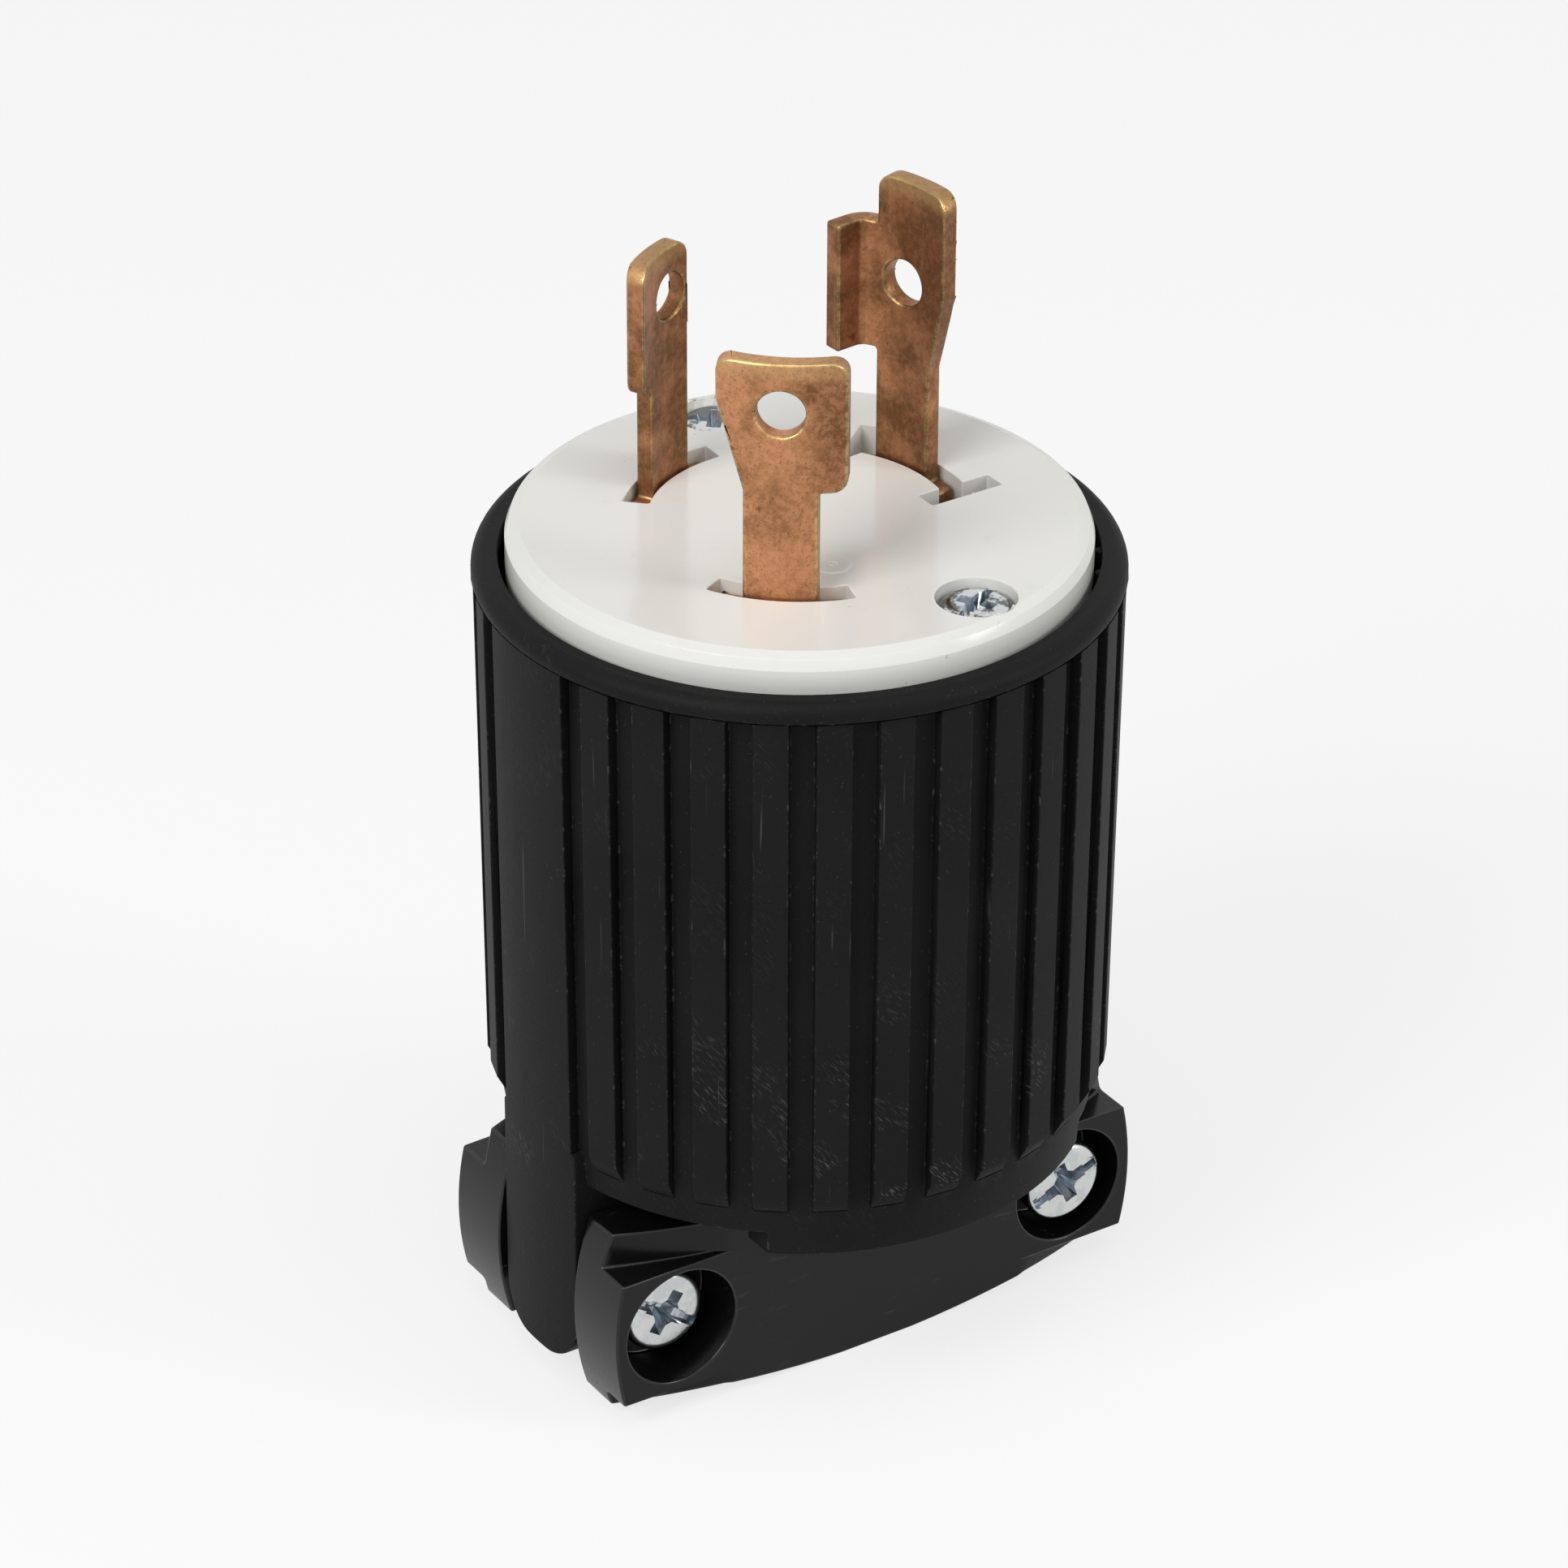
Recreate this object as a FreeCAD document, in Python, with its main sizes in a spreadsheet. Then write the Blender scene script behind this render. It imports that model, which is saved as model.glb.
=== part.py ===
import FreeCAD, Part
import math
import os
import re
import Sketcher

# A three-blade locking plug for a 15 A cord, standing on its cord clamp with its blades up.
# Frame: +Z up along the plug's axis, the origin on that axis at the lowest edge of the clamp,
# +X along the clamp's long side, -Y the side with the two clamp screw heads.
# Lengths are in millimetres and angles in degrees. Plan angles count from +X towards +Y.

DRIVING_SIZES = {
    # Heights above the surface that the plug stands on
    "face_top": 54.0,
    "face_thickness": 8.0,
    "rim_drop": 2.1,
    "skirt_bottom": 13.4,
    "end_wall_bottom": 15.2,
    "end_wall": 2.2,
    "carrier_bottom": 30.0,
    # Housing: ribbed nylon shell
    "body_radius": 19.5,
    "body_draft": 0.5,
    "rib_height": 0.75,
    "rib_count": 14.0,
    "rib_pitch": 10.9,
    "rib_width": 6.2,
    "rib_end": 16.7,
    "rib_taper": 1.3,
    "rim_proud": 0.1,
    "rim_band": 1.2,
    "rim_round": 0.5,
    "skirt_tuck": 0.3,
    "skirt_wall": 1.6,
    "rib_root": 0.4,
    "rib_lip": 0.06,
    "shell_wall": 3.3,
    "cavity_step": 0.9,
    "cord_hole_radius": 8.5,
    "boss_radius": 2.7,
    "lug_half_width": 4.1,
    "lug_reach": 3.8,
    "lug_bottom": 1.8,
    "lug_corner": 3.0,
    "notch_inset": 0.8,
    "notch_height": 1.6,
    "centring_nub": 0.4,
    "centring_angle": 35.5,
    "centring_spread": 9.0,
    # White front insulator
    "rim_wall": 1.6,
    "face_gap": 0.44,
    "face_round": 0.9,
    "slot_clearance": 0.2,
    "slot_end_angle": 2.6,
    "ground_slot_start": 17.5,
    "ground_slot_end": 39.5,
    "key_notch_width": 1.5,
    "key_notch_reach": 1.9,
    "hook_notch_reach": 2.1,
    # Blades: strip rolled to a part of a ring
    "terminal_room": 6.9,
    "blade_thickness": 1.2,
    "neck_half_width": 2.2,
    "line_back_width": 1.7,
    "ground_back_width": 1.9,
    "head_half_width": 3.85,
    "tail_half_width": 4.8,
    "guide_half_width": 3.6,
    "guide_drop": 0.7,
    "step_height": 6.8,
    "slope_top": 12.4,
    "blade_height": 15.1,
    "ground_height": 18.6,
    "ground_head_width": 3.65,
    "hole_height": 11.9,
    "hole_radius": 1.45,
    "blade_corner": 1.0,
    "step_corner": 0.8,
    "tail_drop": 13.0,
    "neutral_angle": 230.3,
    "line_angle": 113.1,
    "ground_angle": 15.9,
    "hook_start": 15.1,
    "hook_lap": 2.0,
    "hook_turn": 64.0,
    "hook_bend": 0.6,
    "hook_leg": 1.5,
    "hook_low": 7.1,
    "hook_high": 15.4,
    # Rear insulator that carries the terminals
    "carrier_clearance": 0.3,
    "bay_clearance": 0.2,
    "hub_ledge": 3.0,
    "hub_ledge_width": 1.6,
    "tip_relief_width": 4.4,
    "tip_relief_reach": 3.3,
    # Terminals
    "terminal_drop": 6.6,
    "wire_gap": 1.6,
    "plate_width": 7.6,
    "plate_height": 7.4,
    "plate_thickness": 1.2,
    "plate_lip": 0.7,
    "terminal_screw_radius": 1.75,
    "terminal_head_radius": 3.0,
    "terminal_head": 1.8,
    "terminal_screw_reach": 1.9,
    # Face screws that hold the insulators in the housing
    "face_screw_inset": 1.85,
    "face_screw_angle": 77.69,
    "face_screw_radius": 1.42,
    "face_screw_length": 15.5,
    "face_head_radius": 2.15,
    "face_head": 2.0,
    "face_head_sink": 0.35,
    "face_recess_clearance": 0.27,
    "screw_clearance": 0.2,
    # Cord clamp halves
    "clamp_setback": 0.4,
    "clamp_gap": 0.4,
    "clamp_ear_gap": 0.2,
    "clamp_face": 9.3,
    "rear_offset": 0.25,
    "clamp_end_height": 6.5,
    "clamp_screw_inset": 4.7,
    "clamp_screw_z": 6.4,
    "ear_bottom": 0.87,
    "clamp_low_ledge": 1.95,
    "clamp_ledge": 10.8,
    "clamp_top": 13.1,
    "belly_radius": 68.0,
    "belly_flat": 0.05,
    "riser_radius": 47.8,
    "riser_reach": 10.5,
    "low_riser_radius": 56.0,
    "low_riser_reach": 10.32,
    "saddle_radius": 7.2,
    "grip_height": 0.6,
    "grip_width": 1.2,
    "grip_low": 5.9,
    "counterbore_radius": 3.87,
    "counterbore_depth": 3.8,
    # Clamp screws and nuts
    "clamp_screw_radius": 1.75,
    "clamp_head_radius": 2.75,
    "clamp_head": 2.0,
    "clamp_screw_end": 8.6,
    "right_screw_slack": 1.5,
    "left_drive_angle": -35.0,
    "right_drive_angle": 21.0,
    "nut_flats": 6.35,
    "nut_thickness": 2.4,
    "nut_clearance": 0.1,
    "nut_seat": 5.5,
    # Driver recesses
    "drive_slot": 0.9,
    "drive_depth": 0.8,
    "drive_cross": 1.5,
}

# Sizes that follow from the driving ones
FOLLOWING_SIZES = {
    "rim_radius": "body_radius + rim_proud",
    "cavity_radius": "body_radius - shell_wall",
    "face_radius": "rim_radius - rim_wall - face_gap",
    "blade_inner": "cavity_radius - terminal_room",
    "blade_outer": "blade_inner + blade_thickness",
    "face_screw_x": "(cavity_radius - face_screw_inset) * cos(face_screw_angle)",
    "face_screw_y": "(cavity_radius - face_screw_inset) * sin(face_screw_angle)",
    "terminal_screw_tip": "blade_inner - terminal_screw_reach",
    "tip_relief_start": "blade_inner - tip_relief_reach",
    "clamp_end_radius": "body_radius - clamp_setback",
    "clamp_screw_x": "clamp_end_radius - clamp_screw_inset",
    "lug_inner": "clamp_screw_x - lug_reach",
    "notch_start": "lug_inner + notch_inset",
}

# Blades and their terminals: each name with the cell that holds its plan angle
TERMINALS = (("neutral", "neutral_angle"), ("line", "line_angle"), ("ground", "ground_angle"))
TERMINAL_HEIGHT = "face_top - face_thickness - terminal_drop"

doc = FreeCAD.newDocument("locking_plug")
sheet = doc.addObject("Spreadsheet::Sheet", "sizes")
for row, (alias, number) in enumerate(DRIVING_SIZES.items(), start=1):
    sheet.set("A%d" % row, alias)
    sheet.set("B%d" % row, str(number))
    sheet.setAlias("B%d" % row, alias)
doc.recompute()


def formula(text):
    """Writes a formula with the sheet's cells in place of the names of sizes."""
    def cell(word):
        name = word.group()
        if name in FOLLOWING_SIZES:
            return "(" + formula(FOLLOWING_SIZES[name]) + ")"
        return "sizes." + name if name in DRIVING_SIZES else name
    return re.sub("[a-z_]+", cell, text)


def bind(thing, **formulas):
    """Ties properties of an object to the sheet."""
    for prop, text in formulas.items():
        thing.setExpression(prop, formula(text))
    return thing


def placed(thing, x="0", y="0", z="0", turn="0", axis="0; 0; 1"):
    """Ties an object's place and its turn about an axis to the sheet."""
    text = "placement(vector(%s; %s; %s); rotation(vector(%s); %s))" % (x, y, z, axis, turn)
    thing.setExpression("Placement", formula(text))
    return thing


def cylinder(name, radius, height, x="0", y="0", z="0", turn="0", axis="0; 0; 1", angle=None):
    """A cylinder, or a sector of one, that stands on z and is turned about an axis."""
    solid = bind(doc.addObject("Part::Cylinder", name), Radius=radius, Height=height)
    if angle is not None:
        bind(solid, Angle=angle)
    return placed(solid, x, y, z, turn, axis)


def box(name, length, width, height, x="0", y="0", z="0", turn="0", axis="0; 0; 1"):
    """A box from its lowest corner."""
    solid = bind(doc.addObject("Part::Box", name), Length=length, Width=width, Height=height)
    return placed(solid, x, y, z, turn, axis)


def cut(name, base, *tools):
    """Takes one or more tools out of a base."""
    result = doc.addObject("Part::Cut", name)
    result.Base = base
    result.Tool = tools[0] if len(tools) == 1 else fuse(name + "_tools", *tools)
    return result


def fuse(name, *solids):
    result = doc.addObject("Part::MultiFuse", name)
    result.Shapes = list(solids)
    result.Refine = True
    return result


def common(name, *solids):
    result = doc.addObject("Part::MultiCommon", name)
    result.Shapes = list(solids)
    return result


def ring(name, inner, outer, height, z="0", turn="0", angle=None):
    """A ring, or a sector of one, about the plug's axis."""
    around = cylinder(name + "_outer", outer, height, z=z, turn=turn, angle=angle)
    bore = cylinder(name + "_inner", inner, height, z=z)
    return cut(name, around, bore)


def filleted(name, base, size, numbers):
    """Rounds the numbered edges of a base."""
    result = doc.addObject("Part::Fillet", name)
    result.Base = base
    result.Edges = [(number, size, size) for number in numbers]
    return result


def outline(body, name, role, corners):
    """A closed sketch of straight lines, with each corner's two places tied to the sheet."""
    sketch = body.newObject("Sketcher::SketchObject", name)
    plane = [feature for feature in body.Origin.OriginFeatures if feature.Role == role][0]
    sketch.AttachmentSupport = [(plane, "")]
    sketch.MapMode = "FlatFace"
    count = len(corners)
    turns = [2 * math.pi * index / count for index in range(count)]
    start = [FreeCAD.Vector(math.cos(turn), math.sin(turn), 0) for turn in turns]
    for index in range(count):
        sketch.addGeometry(Part.LineSegment(start[index], start[(index + 1) % count]), False)
    for index in range(count):
        sketch.addConstraint(Sketcher.Constraint("Coincident", index, 2, (index + 1) % count, 1))
    for index, (across, along) in enumerate(corners):
        for kind, text in (("DistanceX", across), ("DistanceY", along)):
            number = sketch.addConstraint(Sketcher.Constraint(kind, -1, 1, index, 1, 1.0))
            sketch.setExpression("Constraints[%d]" % number, formula(text))
    return sketch


def revolution(body, name, sketch, angle="360", turn=None):
    """Turns a sketch about its upright axis, half of the angle to each side."""
    if turn is not None:
        text = "placement(vector(0; 0; 0); rotation(vector(0; 1; 0); %s))" % turn
        sketch.setExpression("AttachmentOffset", formula(text))
    feature = body.newObject("PartDesign::Revolution", name)
    feature.Profile = (sketch, [""])
    feature.ReferenceAxis = (sketch, ["V_Axis"])
    feature.Midplane = True
    bind(feature, Angle=angle)
    return feature


def slab(body, name, sketch, width, turn):
    """Pads a sketch to both sides, after a turn about the plug's axis."""
    text = "placement(vector(0; 0; 0); rotation(vector(0; 1; 0); %s))" % turn
    sketch.setExpression("AttachmentOffset", formula(text))
    feature = body.newObject("PartDesign::Pad", name)
    feature.Profile = (sketch, [""])
    feature.SideType = "Symmetric"
    bind(feature, Length=width)
    return feature


def polar(body, name, feature, count, angle):
    """Repeats a feature about the plug's axis."""
    pattern = body.newObject("PartDesign::PolarPattern", name)
    pattern.Originals = [feature]
    axis = [item for item in body.Origin.OriginFeatures if item.Role == "Z_Axis"][0]
    pattern.Axis = (axis, [""])
    bind(pattern, Angle=angle, Occurrences=count)
    body.Tip = pattern
    return pattern


def labelled(thing, label):
    thing.Label = label
    pieces.append(thing)
    return thing


def size(alias):
    return float(sheet.get(alias))


pieces = []


# Housing: the wall is one turned section, and the ribs and the two smooth flanks stand on it.
def housing_shell():
    shell = doc.addObject("PartDesign::Body", "housing_shell")
    floor_top = "body_radius - rib_height"
    floor_low = "body_radius - rib_height - tan(body_draft) * (face_top - rim_drop - rim_band - rib_end)"
    band_low = "face_top - rim_drop - rim_band"
    seat = "face_top - face_thickness"
    wall = outline(shell, "wall_section", "XZ_Plane", [
        ("cord_hole_radius", "end_wall_bottom"),
        (floor_low + " - skirt_tuck - skirt_wall", "end_wall_bottom"),
        (floor_low + " - skirt_tuck - skirt_wall", "skirt_bottom"),
        (floor_low + " - skirt_tuck", "skirt_bottom"),
        (floor_low, "rib_end"),
        (floor_top, band_low),
        ("rim_radius", band_low),
        ("rim_radius", "face_top - rim_drop - rim_round"),
        ("rim_radius - rim_round", "face_top - rim_drop"),
        ("face_radius + face_gap", "face_top - rim_drop"),
        ("face_radius + face_gap", seat),
        ("cavity_radius", seat),
        ("cavity_radius", "carrier_bottom"),
        ("cavity_radius - cavity_step", "carrier_bottom"),
        ("cavity_radius - cavity_step", "end_wall_bottom + end_wall"),
        ("cord_hole_radius", "end_wall_bottom + end_wall")])
    turned = revolution(shell, "turned_wall", wall)
    top_radius = "body_radius"
    low_radius = "body_radius - tan(body_draft) * (face_top - rim_drop - rim_band - rib_end - rib_taper)"
    rib_side = [
        (floor_low + " - rib_root", "rib_end"),
        (floor_low + " + rib_lip", "rib_end"),
        (low_radius, "rib_end + rib_taper"),
        (top_radius, band_low),
        (floor_low + " - rib_root", band_low)]
    for side, middle in (("front", "-90"), ("rear", "90")):
        sketch = outline(shell, side + "_rib_side", "XZ_Plane", rib_side)
        first = "%s - rib_pitch * (rib_count - 1) / 2" % middle
        rib = slab(shell, side + "_rib", sketch, "2 * body_radius * sin(rib_width / 2)", first)
        polar(shell, side + "_ribs", rib, "rib_count", "rib_pitch * (rib_count - 1)")
    flank = outline(shell, "flank_side", "XZ_Plane", [
        (floor_low + " - skirt_tuck - rib_root", "skirt_bottom"),
        (low_radius, "skirt_bottom"),
        (low_radius, "rib_end + rib_taper"),
        (top_radius, band_low),
        (floor_low + " - skirt_tuck - rib_root", band_low)])
    flank_width = "180 - rib_pitch * rib_count - (rib_pitch - rib_width)"
    strip = revolution(shell, "flank", flank, flank_width, "0")
    polar(shell, "flanks", strip, "2", "360")
    return shell


def lug(side, turn):
    """A tongue of the housing that carries one clamp screw, with round lower corners."""
    name = side + "_lug"
    low_radius = "body_radius - tan(body_draft) * (face_top - rim_drop - rim_band - rib_end - rib_taper)"
    height = "end_wall_bottom + end_wall - lug_bottom"
    block = box(name + "_block", low_radius + " - lug_inner", "2 * lug_half_width", height,
                x="lug_inner", y="-lug_half_width", z="lug_bottom")
    doc.recompute()
    lower = []
    for number, edge in enumerate(block.Shape.Edges, start=1):
        if edge.BoundBox.XLength > 1 and abs(edge.BoundBox.ZMax - size("lug_bottom")) < 0.01:
            lower.append(number)
    rounded = filleted(name + "_rounded", block, size("lug_corner"), lower)
    limit = cylinder(name + "_limit", low_radius, height, z="lug_bottom")
    hole = cylinder(name + "_hole", "clamp_screw_radius + screw_clearance", "2 * lug_half_width",
                    x="clamp_screw_x", y="lug_half_width", z="clamp_screw_z", turn="90", axis="1; 0; 0")
    tongue = cut(name + "_bored", common(name + "_outline", rounded, limit), hole)
    return placed(tongue, turn=turn)


def housing():
    shell = housing_shell()
    bosses = []
    bores = []
    for side, sign in (("front", "-"), ("rear", "")):
        height = "face_top - face_thickness - end_wall_bottom - end_wall"
        bosses.append(cylinder(side + "_boss", "boss_radius", height, x="face_screw_x",
                               y=sign + "face_screw_y", z="end_wall_bottom + end_wall"))
        bores.append(cylinder(side + "_boss_bore", "face_screw_radius", height, x="face_screw_x",
                              y=sign + "face_screw_y", z="end_wall_bottom + end_wall"))
    nubs = []
    for name, angle in (("nub_a", "-centring_angle - centring_spread / 2"),
                        ("nub_b", "-centring_angle + centring_spread / 2"),
                        ("nub_c", "centring_angle - centring_spread / 2"),
                        ("nub_d", "centring_angle + centring_spread / 2")):
        reach = "(face_radius + face_gap)"
        nubs.append(cylinder(name, "centring_nub", "face_thickness - rim_drop - rim_round",
                             x=reach + " * cos(%s)" % angle, y=reach + " * sin(%s)" % angle,
                             z="face_top - face_thickness"))
    moulded = fuse("moulded", shell, lug("right", "0"), lug("left", "180"), *bosses, *nubs)
    notches = []
    for name, x, y in (("notch_a", "notch_start", "lug_half_width"),
                       ("notch_b", "notch_start", "-lug_half_width - body_radius"),
                       ("notch_c", "-notch_start - body_radius", "lug_half_width"),
                       ("notch_d", "-notch_start - body_radius", "-lug_half_width - body_radius")):
        notches.append(box(name, "body_radius", "body_radius", "notch_height", x, y, "skirt_bottom"))
    return labelled(cut("housing_cut", moulded, *bores, *notches), "housing")


# White front insulator: a disc with a slot for each blade and a sunk seat for each face screw.
def arc_slot(name, angle, half_angle_low, half_angle_high):
    inner = "blade_inner - slot_clearance"
    outer = "blade_outer + slot_clearance"
    return ring(name, inner, outer, "face_thickness", z="face_top - face_thickness",
                turn="%s - (%s)" % (angle, half_angle_low),
                angle="%s + %s" % (half_angle_low, half_angle_high))


def rounded_disc(name, radius, low, top, edge):
    """A turned disc whose upper edge is rounded in two narrow flats."""
    body = doc.addObject("PartDesign::Body", name)
    section = [("0", low), (radius, low), (radius, "%s - %s" % (top, edge))]
    inset = "%s * (1 - cos(45))" % edge
    section += [("%s - %s" % (radius, inset), "%s - %s" % (top, inset)),
                ("%s - %s" % (radius, edge), top), ("0", top)]
    revolution(body, name + "_turned", outline(body, name + "_section", "XZ_Plane", section))
    return body


def front_face():
    seat = "face_top - face_thickness"
    disc = rounded_disc("face_disc", "face_radius", seat, "face_top", "face_round")
    head_angle = "asin(head_half_width / blade_outer) / 1deg + slot_end_angle"
    openings = [
        arc_slot("neutral_slot", "neutral_angle", head_angle, head_angle),
        arc_slot("line_slot", "line_angle", head_angle, head_angle),
        arc_slot("ground_slot", "0", "ground_slot_start", "ground_slot_end"),
        box("key_notch", "blade_thickness + 2 * key_notch_reach", "key_notch_width", "face_thickness",
            "blade_inner - key_notch_reach", "-blade_outer * sin(ground_slot_start)", seat),
        box("hook_notch", "blade_thickness + hook_notch_reach", "key_notch_width", "face_thickness",
            "blade_inner * cos(ground_slot_end) + key_notch_width * sin(ground_slot_end)",
            "blade_inner * sin(ground_slot_end) - key_notch_width * cos(ground_slot_end)", seat,
            turn="ground_slot_end"),
        hook_pocket()]
    for side, sign in (("front", "-"), ("rear", "")):
        sink = "face_head + face_head_sink"
        openings.append(cylinder(side + "_recess", "face_head_radius + face_recess_clearance", sink,
                                 x="face_screw_x", y=sign + "face_screw_y", z="face_top - (%s)" % sink))
        openings.append(cylinder(side + "_face_hole", "face_screw_radius + screw_clearance",
                                 "face_thickness", x="face_screw_x", y=sign + "face_screw_y",
                                 z="face_top - face_thickness"))
    return labelled(cut("face_cut", disc, *openings), "front_insulator")


def hook_pocket():
    """The inward pocket that the hook of the ground blade passes through."""
    turn = "ground_angle + hook_start + hook_turn"
    middle = "(ground_angle + hook_start)"
    wide = "blade_thickness + 2 * slot_clearance"
    bend_x = "(blade_inner - hook_bend) * cos(%s)" % middle
    bend_y = "(blade_inner - hook_bend) * sin(%s)" % middle
    inner = "(hook_bend - slot_clearance)"
    return box("hook_pocket", wide, "hook_leg + 2 * blade_thickness", "face_thickness",
               x="%s + %s * cos(%s) + blade_thickness * sin(%s)" % (bend_x, inner, turn, turn),
               y="%s + %s * sin(%s) - blade_thickness * cos(%s)" % (bend_y, inner, turn, turn),
               z="face_top - face_thickness", turn=turn)


# Blades: a flat outline, cut through a ring, so that each blade is a part of that ring.
def blade_plate(name, corners, rounded):
    """Pads an outline along +X and rounds its corners at the given places."""
    body = doc.addObject("PartDesign::Body", name + "_blank")
    sketch = outline(body, name + "_outline", "YZ_Plane", corners)
    pad = body.newObject("PartDesign::Pad", name + "_pad")
    pad.Profile = (sketch, [""])
    bind(pad, Length="blade_inner + 2 * blade_thickness")
    doc.recompute()
    last = pad
    for index, (across, along, radius) in enumerate(rounded):
        numbers = []
        for number, edge in enumerate(last.Shape.Edges, start=1):
            centre = edge.BoundBox.Center
            if edge.BoundBox.XLength > 1 and math.hypot(centre.y - across, centre.z - along) < 0.05:
                numbers.append("Edge%d" % number)
        corner = body.newObject("PartDesign::Fillet", "%s_corner_%d" % (name, index))
        corner.Base = (last, numbers)
        bind(corner, Radius=radius)
        doc.recompute()
        last = corner
    body.Tip = last
    return body


def blade_ring(name, top):
    height = "tail_drop + %s" % top
    return ring(name + "_ring", "blade_inner", "blade_outer", height,
                z="face_top - face_thickness - tail_drop")


def bored(name, plate, top):
    """Gives a blade its ring section, its hole near the tip and its tapped hole in the tail."""
    rolled = common(name + "_rolled", plate, blade_ring(name, "face_thickness + " + top))
    reach = "blade_inner + 2 * blade_thickness"
    hole = cylinder(name + "_tip_hole", "hole_radius", reach, z="face_top + hole_height",
                    turn="90", axis="0; 1; 0")
    tapped = cylinder(name + "_tapped", "terminal_screw_radius", reach,
                      z="face_top - face_thickness - terminal_drop", turn="90", axis="0; 1; 0")
    return cut(name + "_bored", rolled, hole, tapped)


def tail_corners(right="neck_half_width", left="neck_half_width", left_guide="guide_half_width"):
    """The guide in the insulator's slot and the wide tail below it, from the neck's right side."""
    guide = "face_top - guide_drop"
    seat = "face_top - face_thickness"
    return [(right, guide), ("guide_half_width", guide), ("guide_half_width", seat),
            ("tail_half_width", seat), ("tail_half_width", seat + " - tail_drop"),
            ("-tail_half_width", seat + " - tail_drop"), ("-tail_half_width", seat),
            ("-" + left_guide, seat), ("-" + left_guide, guide), ("-" + left, guide)]


def line_blades():
    top = "face_top + blade_height"
    step = "face_top + step_height"
    hooked = [("head_half_width", top), ("head_half_width", step), ("neck_half_width", step)]
    head = size("head_half_width")
    tip = size("face_top") + size("blade_height")
    ledge = size("face_top") + size("step_height")
    slope = [("-neck_half_width", step), ("-head_half_width", "face_top + slope_top"),
             ("-head_half_width", top)]
    corners = [(head, tip, "blade_corner"), (head, ledge, "step_corner"), (-head, tip, "blade_corner")]
    plate = blade_plate("neutral", hooked + tail_corners() + slope, corners)
    labelled(placed(bored("neutral", plate, "blade_height"), turn="neutral_angle"), "neutral_blade")
    back = size("line_back_width")
    corners = [(head, tip, "blade_corner"), (head, ledge, "step_corner"), (-back, tip, "blade_corner")]
    narrow = hooked + tail_corners(left="line_back_width") + [("-line_back_width", top)]
    plate = blade_plate("line", narrow, corners)
    labelled(placed(bored("line", plate, "blade_height"), turn="line_angle"), "line_blade")


def ground_blade():
    top = "face_top + ground_height"
    right = "-ground_head_width"
    corners = [("ground_back_width", top)] + tail_corners(right="ground_back_width") + [
        ("-neck_half_width", "face_top + step_height"), (right, "face_top + hole_height"), (right, top)]
    tip = size("face_top") + size("ground_height")
    back = size("ground_back_width")
    head = size("ground_head_width")
    plate = blade_plate("ground", corners, [(back, tip, "blade_corner"), (-head, tip, "blade_corner")])
    flat = bored("ground", plate, "ground_height")
    low = "face_top + hook_low"
    tall = "hook_high - hook_low"
    root = "asin(ground_back_width / blade_outer) / 1deg - hook_lap"
    strip = ring("hook_strip", "blade_inner", "blade_outer", tall, z=low,
                 turn=root, angle="hook_start - (%s)" % root)
    centre_x = "(blade_inner - hook_bend) * cos(hook_start)"
    centre_y = "(blade_inner - hook_bend) * sin(hook_start)"
    bend_outer = cylinder("hook_bend_outer", "hook_bend + blade_thickness", tall, centre_x, centre_y, low,
                          turn="hook_start", angle="hook_turn")
    bend_inner = cylinder("hook_bend_inner", "hook_bend", tall, centre_x, centre_y, low)
    bend = cut("hook_bend_part", bend_outer, bend_inner)
    turn = "hook_start + hook_turn"
    leg = box("hook_leg_part", "blade_thickness", "hook_leg", tall,
              x=centre_x + " + hook_bend * cos(%s)" % turn, y=centre_y + " + hook_bend * sin(%s)" % turn,
              z=low, turn=turn)
    whole = fuse("ground_whole", flat, strip, bend, leg)
    return labelled(placed(whole, turn="ground_angle"), "ground_blade")


# Rear insulator: a hub with three open bays, one for each terminal.
def terminal_carrier():
    height = "face_top - face_thickness - carrier_bottom"
    drum = cylinder("carrier_drum", "cavity_radius - carrier_clearance", height, z="carrier_bottom")
    cutters = []
    for name, angle in TERMINALS:
        block = box(name + "_bay_block", "cavity_radius", "2 * (tail_half_width + bay_clearance)", height,
                    y="-tail_half_width - bay_clearance", z="carrier_bottom")
        hub = cylinder(name + "_bay_hub", "blade_inner", height, z="carrier_bottom")
        ledge = cylinder(name + "_bay_ledge", "blade_inner + hub_ledge_width", "hub_ledge",
                         z="carrier_bottom")
        bay = cut(name + "_bay_room", block, hub, ledge)
        relief = box(name + "_tip_relief", "blade_inner", "tip_relief_width", "tip_relief_width",
                     x="tip_relief_start", y="-tip_relief_width / 2",
                     z=TERMINAL_HEIGHT + " - tip_relief_width / 2")
        cutters.append(placed(fuse(name + "_bay", bay, relief), turn=angle))
    for side, sign in (("front", "-"), ("rear", "")):
        cutters.append(cylinder(side + "_boss_notch", "boss_radius + carrier_clearance", height,
                                x="face_screw_x", y=sign + "face_screw_y", z="carrier_bottom"))
    return labelled(cut("carrier_cut", drum, *cutters), "terminal_carrier")


# Terminals: a pressure plate with two lips, and the screw that pulls it against the blade's tail.
def slotted_head(name, screw, x, across):
    """Cuts a driver slot across a head whose top lies at x."""
    groove = box(name + "_slot", "drive_depth", "drive_slot", across, x=x + " - drive_depth",
                 y="-drive_slot / 2", z="%s - (%s) / 2" % (TERMINAL_HEIGHT, across))
    return cut(name + "_slotted", screw, groove)


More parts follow.
